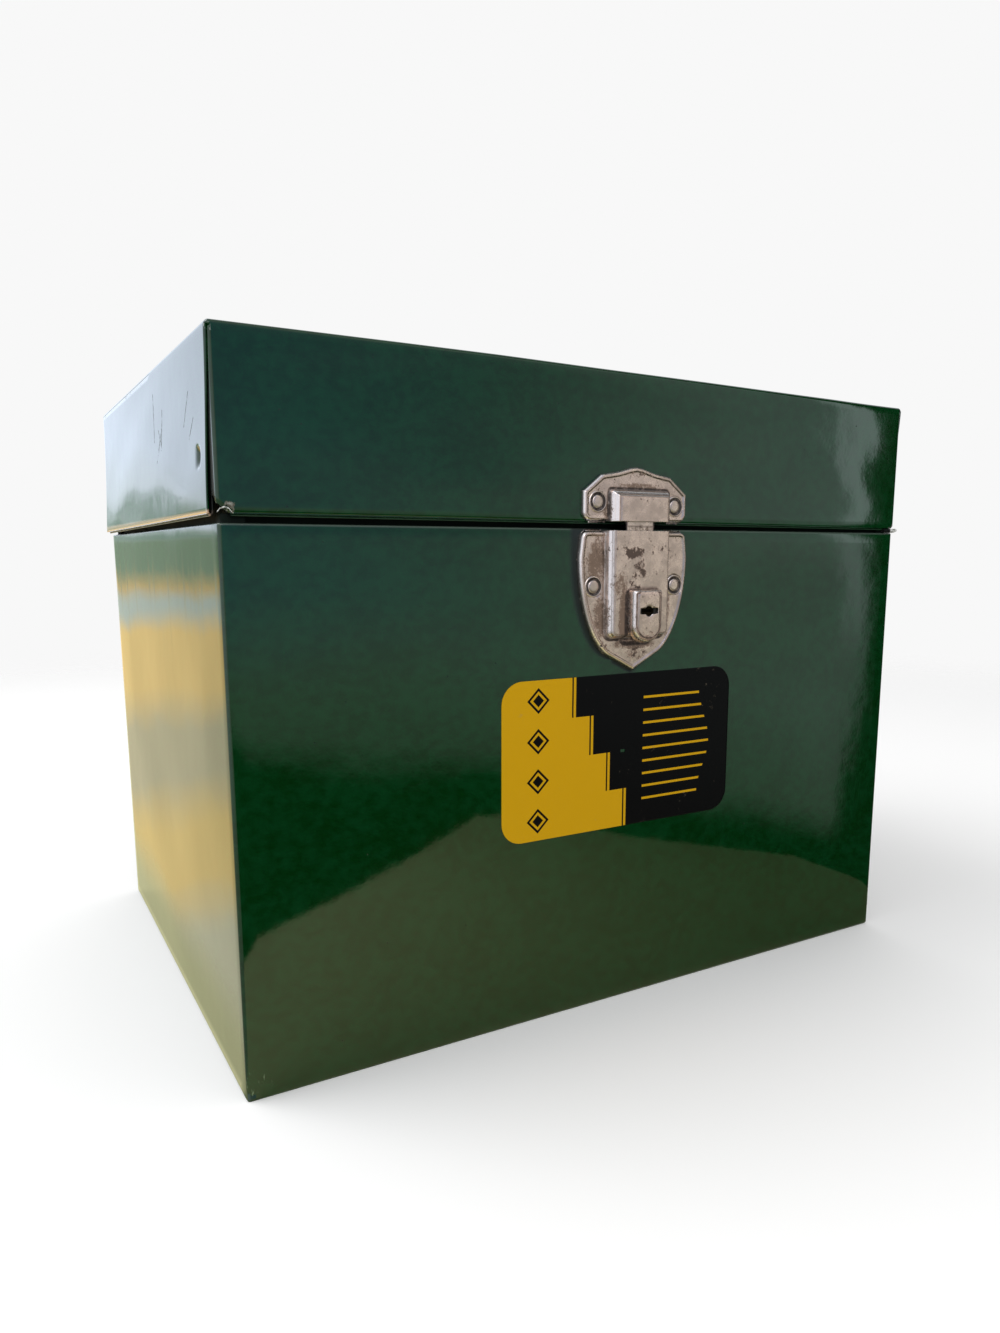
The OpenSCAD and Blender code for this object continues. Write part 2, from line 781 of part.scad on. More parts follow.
// A strap bent over the end of the bail, with a flange on each side
module handle_bracket(side) {
    pivot_up = pivot_z - top_z;
    color([0.7, 0.68, 0.64]) translate([side * bracket_x, 0, top_z]) difference() {
        along_x(bracket_w) difference() {
            union() {
                translate([-bracket_len / 2, 0]) square([bracket_len, bracket_t]);
                translate([0, pivot_up]) circle(bracket_bore + bracket_t);
                translate([-bracket_bore - bracket_t, 0]) square([2 * (bracket_bore + bracket_t), pivot_up]);
            }
            translate([0, pivot_up]) circle(bracket_bore);
            translate([-bracket_bore, -5]) square([2 * bracket_bore, pivot_up + 5]);
            translate([-bracket_len / 2, -10]) square([bracket_len, 10]);
        }
        bracket_holes();
    }
}

module handle_bracket_left() {
    handle_bracket(-1);
}

module handle_bracket_right() {
    handle_bracket(1);
}

module handle_rivets() {
    color([0.62, 0.6, 0.56]) bracket_places() for (side = [-1, 1])
        translate([0, side * bracket_rivet_y, 0]) rivet(bracket_t, sheet + lay);
}

// A wire bail, folded back flat on the lid, with its ends turned out into the brackets
module handle_bail() {
    straight = bail_half - bail_bend;
    color([0.72, 0.7, 0.66]) translate([0, 0, pivot_z]) {
        translate([-straight, bail_reach, 0]) rotate([0, 90, 0]) cylinder(r = wire_r, h = 2 * straight);
        for (side = [-1, 1]) scale([side, 1, 1]) {
            translate([straight, bail_reach - bail_bend, 0]) rotate_extrude(angle = 90)
                translate([bail_bend, 0]) circle(wire_r);
            translate([bail_half, bail_reach - bail_bend, 0]) rotate([90, 0, 0])
                cylinder(r = wire_r, h = bail_reach - bail_bend);
            translate([bail_half, 0, 0]) sphere(wire_r);
            translate([bail_half, 0, 0]) rotate([0, 90, 0]) cylinder(r = wire_r, h = pivot_end - bail_half);
        }
    }
}

body_wrap();
bottom_pan();
dust_lip();
label_plate();
hinge_leaf_base();
hinge_pin();
hinge_leaf_lid();
lock_plate();
lock_back_plate();
lock_rivets();
lock_backing();
latch_lever();
latch_pin();
slide_button();
slide_carrier();
return_spring();
key_tumbler();
lid_shell();
catch_plate();
catch_hook();
catch_rivets();
catch_backing();
handle_bracket_left();
handle_bracket_right();
handle_rivets();
handle_bail();
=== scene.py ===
# Deed box of enamelled sheet steel, in the order in which it is put together.
# Sizes are in millimetres until a mesh is made.
from math import atan2, copysign, cos, exp, hypot, pi, radians, sin, sqrt

import bmesh
import bpy
import numpy as np
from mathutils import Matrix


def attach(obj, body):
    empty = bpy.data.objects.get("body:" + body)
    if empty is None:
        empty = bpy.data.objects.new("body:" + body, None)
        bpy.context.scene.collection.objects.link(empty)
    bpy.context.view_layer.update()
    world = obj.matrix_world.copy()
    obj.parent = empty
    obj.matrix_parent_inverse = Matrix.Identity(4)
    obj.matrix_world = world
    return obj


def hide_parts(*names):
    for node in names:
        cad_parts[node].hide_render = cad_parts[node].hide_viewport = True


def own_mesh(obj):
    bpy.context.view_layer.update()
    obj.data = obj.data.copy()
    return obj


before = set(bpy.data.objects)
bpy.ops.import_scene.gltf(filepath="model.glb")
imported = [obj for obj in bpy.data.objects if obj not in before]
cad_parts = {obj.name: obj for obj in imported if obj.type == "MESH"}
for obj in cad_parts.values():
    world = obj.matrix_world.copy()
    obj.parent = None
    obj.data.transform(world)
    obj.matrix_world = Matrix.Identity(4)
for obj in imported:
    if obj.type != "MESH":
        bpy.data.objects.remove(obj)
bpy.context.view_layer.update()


# Room
# A pale table under one large soft lamp and a low fill. The room is plain to the camera and to matt surfaces.
# Gloss and metal show a dim room with a tall narrow window at the front right, and open ground at the left.


def math_node(operation, swapped=False):
    """A method of Wire that adds a Math node, with its two values swapped for a reflected operator."""
    def method(self, other=0.0):
        first, second = (other, self) if swapped else (self, other)
        return self.shop.node("Math", {"operation": operation}, {0: first, 1: second})
    return method


class Wire:
    """One output of a node. Sums on it add Math nodes."""

    def __init__(self, shop, socket):
        self.shop, self.socket = shop, socket

    def out(self, name):
        return Wire(self.shop, self.socket.node.outputs[name])

    __add__ = __radd__ = math_node("ADD")
    __mul__ = __rmul__ = math_node("MULTIPLY")
    __sub__, __rsub__ = math_node("SUBTRACT"), math_node("SUBTRACT", True)
    __truediv__, __pow__, __abs__ = math_node("DIVIDE"), math_node("POWER"), math_node("ABSOLUTE")
    low, high = math_node("MINIMUM"), math_node("MAXIMUM")
    floor, nearest, bearing = math_node("FLOOR"), math_node("ROUND"), math_node("ARCTAN2")

    def near(self, place, width, soft):
        """1 within width of a place, 0 further off than width and soft together."""
        return abs(self - place).step(width + soft, width)

    def step(self, start, end):
        """0 before start, 1 after end, and smooth between them; start may be the larger."""
        return self.shop.node(
            "MapRange",
            {"interpolation_type": "SMOOTHSTEP"},
            {"Value": self, "From Min": min(start, end), "From Max": max(start, end),
             "To Min": float(start > end), "To Max": float(start < end)},
        )


class Shop:
    """A node tree, with the one way in which its nodes are made."""

    def __init__(self, tree):
        self.tree = tree
        tree.nodes.clear()

    def node(self, kind, settings=None, sockets=None, out=0):
        made = self.tree.nodes.new("ShaderNode" + kind)
        for key, value in (settings or {}).items():
            if key == "stops":
                ramp = made.color_ramp
                while len(ramp.elements) < len(value):
                    ramp.elements.new(0.5)
                for element, (place, colour) in zip(ramp.elements, value):
                    element.position, element.color = place, (*colour, 1)
            else:
                setattr(made, key, value)
        for key, value in (sockets or {}).items():
            if isinstance(value, Wire):
                self.tree.links.new(value.socket, made.inputs[key])
            else:
                made.inputs[key].default_value = (*value, 1) if made.inputs[key].type == "RGBA" else value
        return Wire(self, made.outputs[out]) if made.outputs else None

    def blend(self, share, under, over):
        """The colour under, covered by the colour over as share goes from 0 to 1."""
        return self.node("Mix", {"data_type": "RGBA"}, {0: share, 6: under, 7: over}, out=2)


class Finish(Shop):
    """A material. at is the place on the object, in millimetres."""

    def __init__(self, name):
        self.material = bpy.data.materials.new(name)
        self.material.use_nodes = True
        super().__init__(self.material.node_tree)
        place = self.node("TexCoord", out="Object")
        self.at = self.node("VectorMath", {"operation": "SCALE"}, {0: place, "Scale": 1000.0})
        self.x = self.node("SeparateXYZ", None, {0: self.at})
        self.y, self.z = self.x.out("Y"), self.x.out("Z")

    def noise(self, size, detail=2.0, rough=0.5, shift=0.0, stretch=(1, 1, 1)):
        """Cloudy noise from 0 to 1, about size millimetres across."""
        moved = {0: self.at, 1: stretch, 2: (shift,) * 3}
        place = self.node("VectorMath", {"operation": "MULTIPLY_ADD"}, moved)
        sockets = {"Vector": place, "Scale": 1 / size, "Detail": detail, "Roughness": rough}
        return self.node("TexNoise", None, sockets)

    def spot(self, centre, radii):
        """1 at a centre, falling to 0 at the given distances from it; a distance of 0 doesn't count."""
        away = 0.0
        for place, middle, radius in zip((self.x, self.y, self.z), centre, radii):
            if radius:
                away = away + ((place - middle) / radius) ** 2.0
        return away.step(1.0, 0.0)

    def spots(self, places):
        """Spots seen from the front, added up: each is (x, z, radius x, radius z, strength)."""
        total = 0.0
        for x, z, rx, rz, strength in places:
            total = self.spot((x, 0, z), (rx, 0, rz)) * strength + total
        return total

    def dots(self, apart, radius, chance):
        """Round dots in some of the cells of an uneven pattern; a larger chance leaves fewer of them."""
        cells = self.node("TexVoronoi", None, {"Vector": self.at, "Scale": 1 / apart, "Randomness": 1.0})
        chosen = self.node("SeparateColor", None, {0: cells.out("Color")})
        return cells.step(*radius) * chosen.step(chance, chance + 0.01)

    def ring(self, middle, gap, height):
        """Distance seen from the front to the nearer of two points, gap to the left and right of the middle."""
        return ((abs(self.x - middle) - gap) ** 2.0 + (self.z - height) ** 2.0) ** 0.5

    def frame(self, centre, half, corner):
        """Distance outside a rounded rectangle seen from the front, negative inside it."""
        across = abs(self.x - centre[0]) - (half[0] - corner)
        along = abs(self.z - centre[1]) - (half[1] - corner)
        round_off = (across.high(0.0) ** 2.0 + along.high(0.0) ** 2.0) ** 0.5
        return round_off + across.high(along).low(0.0) - corner

    def surface(self, sockets, height=None, relief=0.0):
        """The finished surface; height gives a relief of that many millimetres."""
        if height is not None:
            bump = {"Height": height, "Distance": relief / 1000, "Strength": 1.0}
            sockets = {**sockets, "Normal": self.node("Bump", None, bump)}
        self.node("OutputMaterial", None, {0: self.node("BsdfPrincipled", None, sockets)})
        return self.material


scene = bpy.context.scene
scene.view_settings.view_transform = "Standard"

camera = bpy.data.objects.new("camera", bpy.data.cameras.new("camera"))
scene.collection.objects.link(camera)
camera.location = (-0.2275, -0.4246, 0.1889)
camera.rotation_euler = (pi / 2 - 0.165, 0, -0.530)
camera.data.lens = 25.21
camera.data.shift_x = -0.0146
camera.data.shift_y = 0.0309
camera.data.clip_start = 0.01
scene.camera = camera

table = bpy.data.meshes.new("table")
table.from_pydata([(-2, -2, 0), (2, -2, 0), (2, 2, 0), (-2, 2, 0)], [], [(0, 1, 2, 3)])
table_top = bpy.data.objects.new("table_top", table)
scene.collection.objects.link(table_top)
pale_table = bpy.data.materials.new("pale_table")
pale_table.use_nodes = True
shop = Shop(pale_table.node_tree)
place = shop.node("TexCoord", out="Object")
reach = shop.node("VectorMath", {"operation": "DISTANCE"}, {0: place, 1: (0.0, 0.0, 0.0)}, out=1)
side = shop.node("SeparateXYZ", None, {0: place})
front = side.out("Y")
cut = side.step(-0.163, -0.180).high((side * 0.66 + front + 0.339).step(0.004, -0.004))
cut = cut.high((front - side * 1.3 + 0.487).step(0.004, -0.004)).high(side.step(0.203, 0.209))
cut = cut.high(side.step(-0.12, 0.22) * 0.7)
# To glossy rays the table is tan, a painted reflection of wooden ground, and where cut is set they see through it
# to the room; the camera and matt surfaces see it pale grey.
glossy = shop.node("LightPath").out("Is Glossy Ray")
cloth = shop.node("BsdfDiffuse", None, {"Color": shop.blend(glossy, (0.93, 0.93, 0.93), (0.92, 0.88, 0.52))})
gone = shop.node("BsdfTransparent", None, {"Color": (1, 1, 1)})
faded = shop.node("MixShader", None, {0: reach.step(0.7, 1.5).high(glossy * cut), 1: cloth, 2: gone})
shop.node("OutputMaterial", None, {0: faded})
table.materials.append(pale_table)

world = bpy.data.worlds.new("room")
scene.world = world
world.use_nodes = True
shop = Shop(world.node_tree)
east = shop.node("SeparateXYZ", None, {0: shop.node("TexCoord", out="Generated")})
north, up = east.out("Y"), east.out("Z")
turn = east.bearing(north * -1.0) * (180 / pi)  # degrees from the front, to the right
room = shop.blend(up.step(-0.2, 0.15), (0.50, 0.49, 0.45), (0.72, 0.76, 0.80))
window_wall = shop.node("ValToRGB", {"stops": [
    (0.390, (0.006, 0.008, 0.004)), (0.406, (0.38, 0.47, 0.40)), (0.46, (0.58, 0.69, 0.66)),
    (0.50, (0.57, 0.67, 0.66)), (0.535, (0.52, 0.54, 0.60)), (0.565, (0.42, 0.44, 0.55)),
    (0.60, (0.33, 0.35, 0.46)), (0.72, (0.55, 0.60, 0.68)), (1.0, (0.95, 0.98, 1.0)),
]}, {0: (turn * 0.002 + up - 0.03) * 0.5 + 0.5})
window_wall = shop.blend(turn.step(40, 8) * up.step(-0.16, -0.02) * 0.6, window_wall, (0.14, 0.36, 0.80))
window_wall = shop.blend(turn.step(26, 45) * up.step(-0.06, 0.03) * 0.42, window_wall, (1.15, 1.35, 1.30))
lit = (up.step(-0.12, -0.04) * 0.45 + up.step(0.0, 0.03) * 0.55) * turn.step(48.4, 49.4) * turn.step(50.8, 50.2)
window_wall = shop.blend(turn.step(49.8, 50.6), window_wall, (0.008, 0.010, 0.008))
window_wall = shop.blend(lit, window_wall, (1.65, 1.95, 1.95))
room = shop.blend(turn.step(-10, 2) * turn.step(88, 74), room, window_wall)
garden = shop.node("ValToRGB", {"stops": [
    (0.310, (1.05, 1.0, 0.72)), (0.333, (1.40, 1.05, 0.45)), (0.36, (1.40, 1.05, 0.45)),
    (0.385, (1.00, 0.90, 0.60)), (0.41, (1.00, 0.90, 0.60)), (0.43, (1.50, 1.10, 0.48)),
    (0.457, (1.50, 1.10, 0.48)), (0.467, (0.90, 1.0, 0.90)), (0.474, (0.90, 1.0, 0.90)),
    (0.480, (1.12, 0.84, 0.40)), (0.488, (0.42, 0.55, 0.40)), (0.500, (0.42, 0.55, 0.40)),
    (0.517, (0.75, 0.90, 0.85)), (0.526, (1.35, 1.50, 1.65)), (0.55, (1.45, 1.62, 1.9)), (1.0, (1.15, 1.25, 1.4)),
]}, {0: shop.node("TexNoise", None, {"Scale": 11.0, "Detail": 4.0, "Roughness": 0.6}) * 0.03 + up * 0.5 + 0.4815})
room = shop.blend(abs(turn + 80.0).step(75, 35) * up.step(-0.4, 0.0), room, (1.25, 1.32, 1.45))
trees = shop.node("TexNoise", None, {"Scale": 14.0, "Detail": 4.0, "Roughness": 0.7})
garden = shop.blend((trees - up * 2.2).step(0.36, 0.46) * up.step(0.015, 0.03) * 0.6, garden, (0.34, 0.50, 0.42))
room = shop.blend(turn.step(-118, -145) + turn.step(174, 179), room, garden)
rays = shop.node("LightPath")
seen = shop.blend(rays.out("Is Glossy Ray"), (0.80, 0.80, 0.80), room)
seen = shop.blend(rays, seen, (0.939, 0.939, 0.939))
shop.node("OutputWorld", None, {0: shop.node("Background", None, {"Color": seen, "Strength": 1.0})})


def lamp(name, place, size, watts):
    """A rectangular lamp that is aimed at the box."""
    light = bpy.data.lights.new(name, "AREA")
    light.shape, light.size, light.size_y = "RECTANGLE", *size
    light.energy = watts
    hung = bpy.data.objects.new(name, light)
    hung.location = place
    away = np.array(place) - (0.0, 0.0, 0.1)
    hung.rotation_euler = (atan2(hypot(*away[:2]), away[2]), 0, atan2(away[0], -away[1]))
    scene.collection.objects.link(hung)


lamp("soft_lamp", (-0.9, 0.35, 1.5), (1.0, 1.0), 12.5)
lamp("front_fill", (-0.5, -1.4, 1.1), (1.0, 0.8), 7)


# Base: wrap
# One sheet of 0.7 mm steel bent round the front, sides and back, its upper edge folded in over the front and the
# sides. Baked green enamel, glossy, with a fine orange peel, specks, wipe marks and worn corners.
box_w, box_d, base_h = 317.5, 241.0, 198.0
half_w, half_d = box_w / 2, box_d / 2
sheet = 0.7
hem_t = 2 * sheet
corner_r = 1.3
hem_h = 8.0


def piece(name, points, faces, body, material, node, facing=None):
    """A mesh from points in millimetres, most of it looking along facing. It may stand for a CAD node."""
    mesh = bpy.data.meshes.new(name)
    places = [tuple(float(c) / 1000 for c in p) for p in points]
    mesh.from_pydata(places, [], [tuple(int(i) for i in f) for f in faces])
    mesh.validate()
    if facing and sum(f.normal.dot(facing) * f.area for f in mesh.polygons) < 0:
        mesh.flip_normals()
    mesh.shade_smooth()
    for coat in material if isinstance(material, list) else [material]:
        mesh.materials.append(coat)
    made = bpy.data.objects.new(name, mesh)
    scene.collection.objects.link(made)
    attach(made, body)
    if node:
        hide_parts(node)
    return made


def net(rows, columns, start=0, around=False, closed=False, keep=None):
    """Faces over rows of points: around joins each row's end to its start, closed the last row to the first."""
    faces = []
    for r in range(rows if closed else rows - 1):
        for c in range(columns if around else columns - 1):
            if keep is None or keep(r, c):
                a, b = r * columns, (r + 1) % rows * columns
                d = (c + 1) % columns
                faces.append([start + a + c, start + a + d, start + b + d, start + b + c])
    return faces


def arc(cx, cy, radius, start, end, count):
    """Points along an arc, from one angle to another, in degrees."""
    return [(cx + radius * cos(a), cy + radius * sin(a)) for a in np.radians(np.linspace(start, end, count))]


def spread(*spans):
    """Places along a line: each span is (from, to, number of steps), and neighbours share their ends."""
    return np.unique(np.concatenate([np.linspace(a, b, n + 1) for a, b, n in spans]).round(4))


def green_enamel(name, marks):
    """Baked gloss enamel. marks adds a piece's own wear, and on the base and lid some painted light and shade: it
    takes the finish, colour and roughness, and returns the share of bare steel, the colour and the roughness."""
    paint = Finish(name)
    cloud = paint.noise(24, 3, 0.6)
    mottle = paint.noise(4.5, 3, 0.6, 0.0, (1, 1, 1.3))
    deep, pale = (0.0006, 0.0170, 0.0022), (0.0014, 0.0270, 0.0062)
    colour = paint.blend((cloud * 0.4 + mottle * 0.6).step(0.36, 0.64), deep, pale)
    speck = paint.dots(6.5, (0.055, 0.03), 0.72)
    colour = paint.blend(speck * 0.8, colour, (0.0006, 0.004, 0.0015))
    dull = paint.noise(60, 4, 0.65, 7.0, (1, 1, 0.35))
    rough = dull * 0.05 + mottle * 0.02 + 0.015 + speck * 0.3
    bare, colour, rough = marks(paint, colour, rough)
    steel = paint.blend(paint.noise(0.9, 3).step(0.35, 0.65), (0.09, 0.075, 0.05), (0.34, 0.33, 0.27))
    colour = paint.blend(bare, colour, steel)
    peel = paint.noise(1.7, 1.5, 0.45) * 0.35 + mottle * 0.7 + paint.noise(16, 1, 0.5) * 5.0
    return paint.surface(
        {"Base Color": colour, "Roughness": rough + bare * 0.35, "Metallic": bare * 0.5, "IOR": 1.5},
        peel - bare * 2.0 - speck * 1.2, 0.010,
    )


def base_marks(paint, colour, rough):
    edge_x = (abs(paint.x) - (half_w - 1.4)).step(0.0, 1.3)
    edge_y = (abs(paint.y) - (half_d - 1.4)).step(0.0, 1.3)
    corner = edge_x * edge_y
    foot = paint.z.step(2.2, 0.4) * edge_x.high(edge_y)
    chips = paint.noise(3.2, 4, 0.7, 3.0)
    low_corner = paint.spot((-half_w + 3, -half_d, 5), (7, 9, 8))
    bare = ((corner * paint.z.step(26, 0) * 0.14 + foot * 0.06 + low_corner * 0.05 + chips)
            * corner.high(foot).high(low_corner)).step(0.70, 0.74)
    # The folded top edge is painted a lighter grey green: partly worn enamel, partly a painted highlight along the
    # fold.
    top_edge_wear_and_sheen = paint.z.step(base_h - 1.0, base_h - 0.3)
    colour = paint.blend(top_edge_wear_and_sheen * 0.75, colour, (0.055, 0.075, 0.062))
    wiped = paint.noise(5.5, 3, 0.6, 5.0, (1, 1, 0.07))
    near_top = paint.z.step(110, base_h) * paint.x.step(-half_w + 2, -half_w)
    rough = rough + wiped.step(0.45, 0.7) * (near_top * 0.16 + 0.01) + top_edge_wear_and_sheen * 0.2
    colour = paint.blend(near_top * wiped.step(0.46, 0.74) * 0.25, colour, (0.07, 0.13, 0.085))
    rubbed = paint.noise(0.8, 3, 0.7, 2.0, (0.15, 1, 1.6)).step(0.62, 0.72) * (corner * 0.6 + foot * 0.4)
    colour = paint.blend(rubbed, colour, (0.07, 0.10, 0.06))
    nicks = paint.noise(0.9, 3, 0.7, 8.0, (1, 1, 0.2)).step(0.60, 0.68) * low_corner
    colour = paint.blend(nicks * 0.6, colour, (0.16, 0.22, 0.13))
    # Painted shadow: a dark, dull band round the left and lower edge of the lock's shield, as the plate's shadow
    # on the enamel.
    down = 197.2 - paint.z
    bowed = (1 - ((down - 10).high(0.0) / 41) ** 2.0).high(0.0) ** 0.5 * 20 + 6.7
    beside = abs(paint.x - 2.9) - bowed.low((55.7 - down) * 1.905)
    shield_painted_shadow = (beside.step(4.2, 1.2) * down.step(58.5, 57.0) * paint.x.step(11, 3)
              * paint.y.step(2.0 - half_d, 1.0 - half_d))
    colour = paint.blend(shield_painted_shadow * 0.85, colour, (0.0012, 0.0022, 0.0014))
    rough = rough + shield_painted_shadow * 0.35
    return bare, colour, rough


enamel_base = green_enamel("green_enamel_base", base_marks)


def inside_enamel(name, deep, pale, gloss, shine=0.5):
    paint = Finish(name)
    cloud = paint.noise(18, 4, 0.6)
    dust = paint.noise(5, 4, 0.7, 2.0).step(0.5, 0.75)
    colour = paint.blend(cloud.step(0.3, 0.7), deep, pale)
    colour = paint.blend(dust * 0.25, colour, tuple(c * 3 + 0.002 for c in pale))
    return paint.surface(
        {"Base Color": colour, "Roughness": cloud * 0.12 + gloss + dust * 0.2, "Specular IOR Level": shine},
        paint.noise(2.2, 2) + cloud, 0.012,
    )


enamel_inside = inside_enamel("green_enamel_inside", (0.006, 0.030, 0.011), (0.010, 0.040, 0.016), 0.28)
# The dust lip's enamel is the inside green darkened nearly to black, as painted shade in the seam between lid and
# base.
enamel_lip_painted_shade = inside_enamel("green_enamel_lip_painted_shade", (0.0012, 0.0035, 0.0020), (0.0020, 0.0055, 0.0030), 0.62, 0.08)


def ring_stations(flat_x, flat_y, radius, turn=5):
    """Places round the box, from the front's left end: (x, y, normal x, normal y)."""
    stations = []
    sides = [[(x, -half_d, 0, -1) for x in flat_x], [(half_w, y, 1, 0) for y in flat_y],
             [(x, half_d, 0, 1) for x in flat_x[::-1]], [(-half_w, y, -1, 0) for y in flat_y[::-1]]]
    for side, flat in enumerate(sides):
        cx = (half_w - radius) * (1 if side in (0, 1) else -1)
        cy = (half_d - radius) * (1 if side in (1, 2) else -1)
        bend = arc(cx, cy, radius, side * 90 - 90, side * 90, turn + 1)[1:-1]
        stations += flat + [(x, y, (x - cx) / radius, (y - cy) / radius) for x, y in bend]
    return stations


def dent(u, v, seed, depth):
    """Slow waves of a panel, flat at its edges; u and v run from 0 to 1."""
    edge = np.clip(np.minimum(u, 1 - u) * 7, 0, 1) * np.clip(np.minimum(v, 1 - v) * 7, 0, 1)
    wave = (np.sin(2.3 * u * pi + seed) * np.sin(1.7 * v * pi + 2 * seed)
            + 0.45 * np.sin(5.1 * u * pi + 3 * seed) * np.sin(3.3 * v * pi + seed))
    return float(depth * edge * wave)


def front_wave(x, z):
    """How far the front wall lies behind its flat plane; it is flat behind the lock."""
    calm = min(1.0, max(0.0, (max(abs(x - 3.6) / 30, (base_h - z) / 60) - 1) / 0.4))
    return dent((x + half_w) / box_w, z / base_h, 1.7, 0.22) * calm


def base_wrap():
    flat_x = spread((-half_w + corner_r, half_w - corner_r, 64))
    flat_y = spread((-half_d + corner_r, half_d - corner_r, 50))
    stations = ring_stations(flat_x, flat_y, corner_r)
    points, rows = [], 0
    top_back = base_h - 0.15
    section = [("wall", z) for z in spread((0.9, base_h - sheet, 46))]
    section += [("fold", a) for a in np.linspace(0, 180, 8)[1:-1]]
    section += [("leg", z) for z in (base_h - sheet, base_h - hem_h / 2, base_h - hem_h + 0.2)]
    section += [("end", base_h - hem_h)] + [("inner", z) for z in (base_h - hem_h - 0.1, base_h / 2, 1.0)]
    section += [("foot", 0.0), ("turned", 0.0), ("turned", 0.35), ("turned", 0.7)]
    for kind, value in section:
        for x, y, nx, ny in stations:
            folded = y < half_d - 7
            inset, z = 0.0, value
            if kind == "wall":
                z = value if folded else min(value, top_back - 0.35)
                v = z / base_h
                if ny == -1:
                    inset = front_wave(x, z)
                elif ny == 1:
                    inset = dent((x + half_w) / box_w, v, -0.3, 0.22)
                elif abs(nx) == 1:
                    inset = dent((y + half_d) / box_d, v, 1.9 + nx, 0.30)
                worn = max(0.0, 1 - (hypot(x + half_w, y + half_d) + z) / 4.0)
                inset += 1.1 * worn
            elif kind == "fold":
                a = radians(value)
                if folded:
                    inset, z = sheet - sheet * cos(a), base_h - sheet + sheet * sin(a)
                else:
                    inset, z = sheet / 2 * (1 - cos(a)), top_back - 0.35 + 0.35 * sin(a)
            elif kind == "leg":
                inset, z = (hem_t, value) if folded else (sheet, value - 0.5)
            elif kind == "end":
                inset = (hem_t + sheet) / 2 if folded else sheet
            elif kind in ("inner", "foot"):
                inset = sheet
            else:
                inset, z = (0.5 if value < 0.1 else 0.45 if value < 0.5 else 0.12), value
            points.append((x - nx * inset, y - ny * inset, z))
        rows += 1
    wrap = piece("base_wrap", points, net(rows, len(stations), around=True, closed=True), "base",
                 [enamel_base, enamel_inside], "body_wrap")
    inner_from = section.index(("leg", base_h - hem_h / 2)) * len(stations)
    inner_to = section.index(("turned", 0.7)) * len(stations)
    for face in wrap.data.polygons:
        if min(face.vertices) >= inner_from and max(face.vertices) < inner_to:
            face.material_index = 1
    return wrap


wrap = base_wrap()


# Base: bottom pan, dust lip and hinge
# The bottom is a shallow pan welded inside the wrap. The lip is a bent strip behind the fold, against dust.
# The hinge is a strip of rolled knuckles on a steel pin, with its leaves welded inside both back walls.
def steel(name, colour, rough, stain=(0.16, 0.10, 0.06), stained=0.35):
    """Uncoated or plated metal with fine drawing lines and a little tarnish."""
    metal = Finish(name)
    lines = metal.noise(1.4, 3, 0.6)
    cloud = metal.noise(7, 4, 0.65, 4.0)
    tarnish = cloud.step(0.52, 0.72) * stained
    shade = metal.blend(lines * 0.5, colour, tuple(c * 0.78 for c in colour))
    return metal.surface(
        {"Base Color": metal.blend(tarnish, shade, stain), "Metallic": 1 - tarnish * 0.5,
         "Roughness": lines * 0.12 + rough + tarnish * 0.3},
        lines + cloud * 0.5, 0.012,
    )


bare_steel = steel("bare_steel", (0.50, 0.49, 0.46), 0.30)
spring_steel = steel("spring_steel", (0.38, 0.38, 0.38), 0.25, stained=0.2)
# The tumbler's brass is painted nearly black, as the shade inside the keyhole.
brass_painted_shade = steel("tumbler_brass", (0.020, 0.014, 0.008), 0.7, (0.004, 0.003, 0.002), 1.0)


def eased(node, material, width=0.12):
    """Keeps a CAD solid, with its material and its sharp edges eased."""
    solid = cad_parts[node]
    solid.data.materials.clear()
    solid.data.materials.append(material)
    solid.modifiers.new("joined", "WELD").merge_threshold = 1e-6
    ease = solid.modifiers.new("eased", "BEVEL")
    ease.width, ease.segments, ease.limit_method = width / 1000, 2, "ANGLE"
    ease.angle_limit = radians(40)
    ease.harden_normals = True
    return solid


eased("bottom_pan", enamel_inside, 0.2)
eased("dust_lip", enamel_lip_painted_shade, 0.15)


def lip_corners():
    """The rounded corners of the dust lip, pressed out close to the walls."""
    points, faces = [], []
    bend = arc(half_w - 5.2, half_d - 5.2, 3.4, 90, 0, 9)
    walk = [(half_w - 9, half_d - 1.75), *bend, (half_w - 1.8, half_d - 9)]
    outer = [(189.0, 0), (195.0, 0), (200.6, 0), (201.0, 0.15)]
    section = outer + [(z, 0.5 - inset) for z, inset in outer[::-1]]
    for sx, sy in ((1, -1), (-1, -1), (1, 1), (-1, 1)):
        faces += net(len(section), len(walk), len(points), closed=True)
        points += [(sx * (x - inset), sy * (y - inset), z) for z, inset in section for x, y in walk]
    piece("lip_corners", points, faces, "base", enamel_lip_painted_shade, None)


lip_corners()
for leaf in ("base", "lid"):
    eased("hinge_leaf_" + leaf, enamel_inside)
eased("hinge_pin", bare_steel)


# Lock: plates, rivets and case
# A shield with its raised case, pressed from nickel-plated steel about 0.8 mm thick, its rim turned back.
# Two flat rivets sit in pressed seats. The plating is worn, pitted and stained brown beside the case.
lock_x, lock_mid, lock_top = 3.6, 2.9, 197.2
lock_rivets = [(-20.1, 175.6), (20.1, 175.6)]
case_foot, case_h = 15.1, 42.5
front_y = -half_d
plate_rim, plate_face = 2.5, 2.25  # how far a plate's rim and its face stand off the sheet
# The side of a raised case: the distance in from its foot, in bevels, against the share of its rise
case_wall = [0, 0.15, 0.45, 0.9, 1.15, 1.5, 1.75, 2.0, 2.4], [0, 0.10, 0.42, 0.60, 0.66, 0.88, 0.95, 0.985, 1.0]


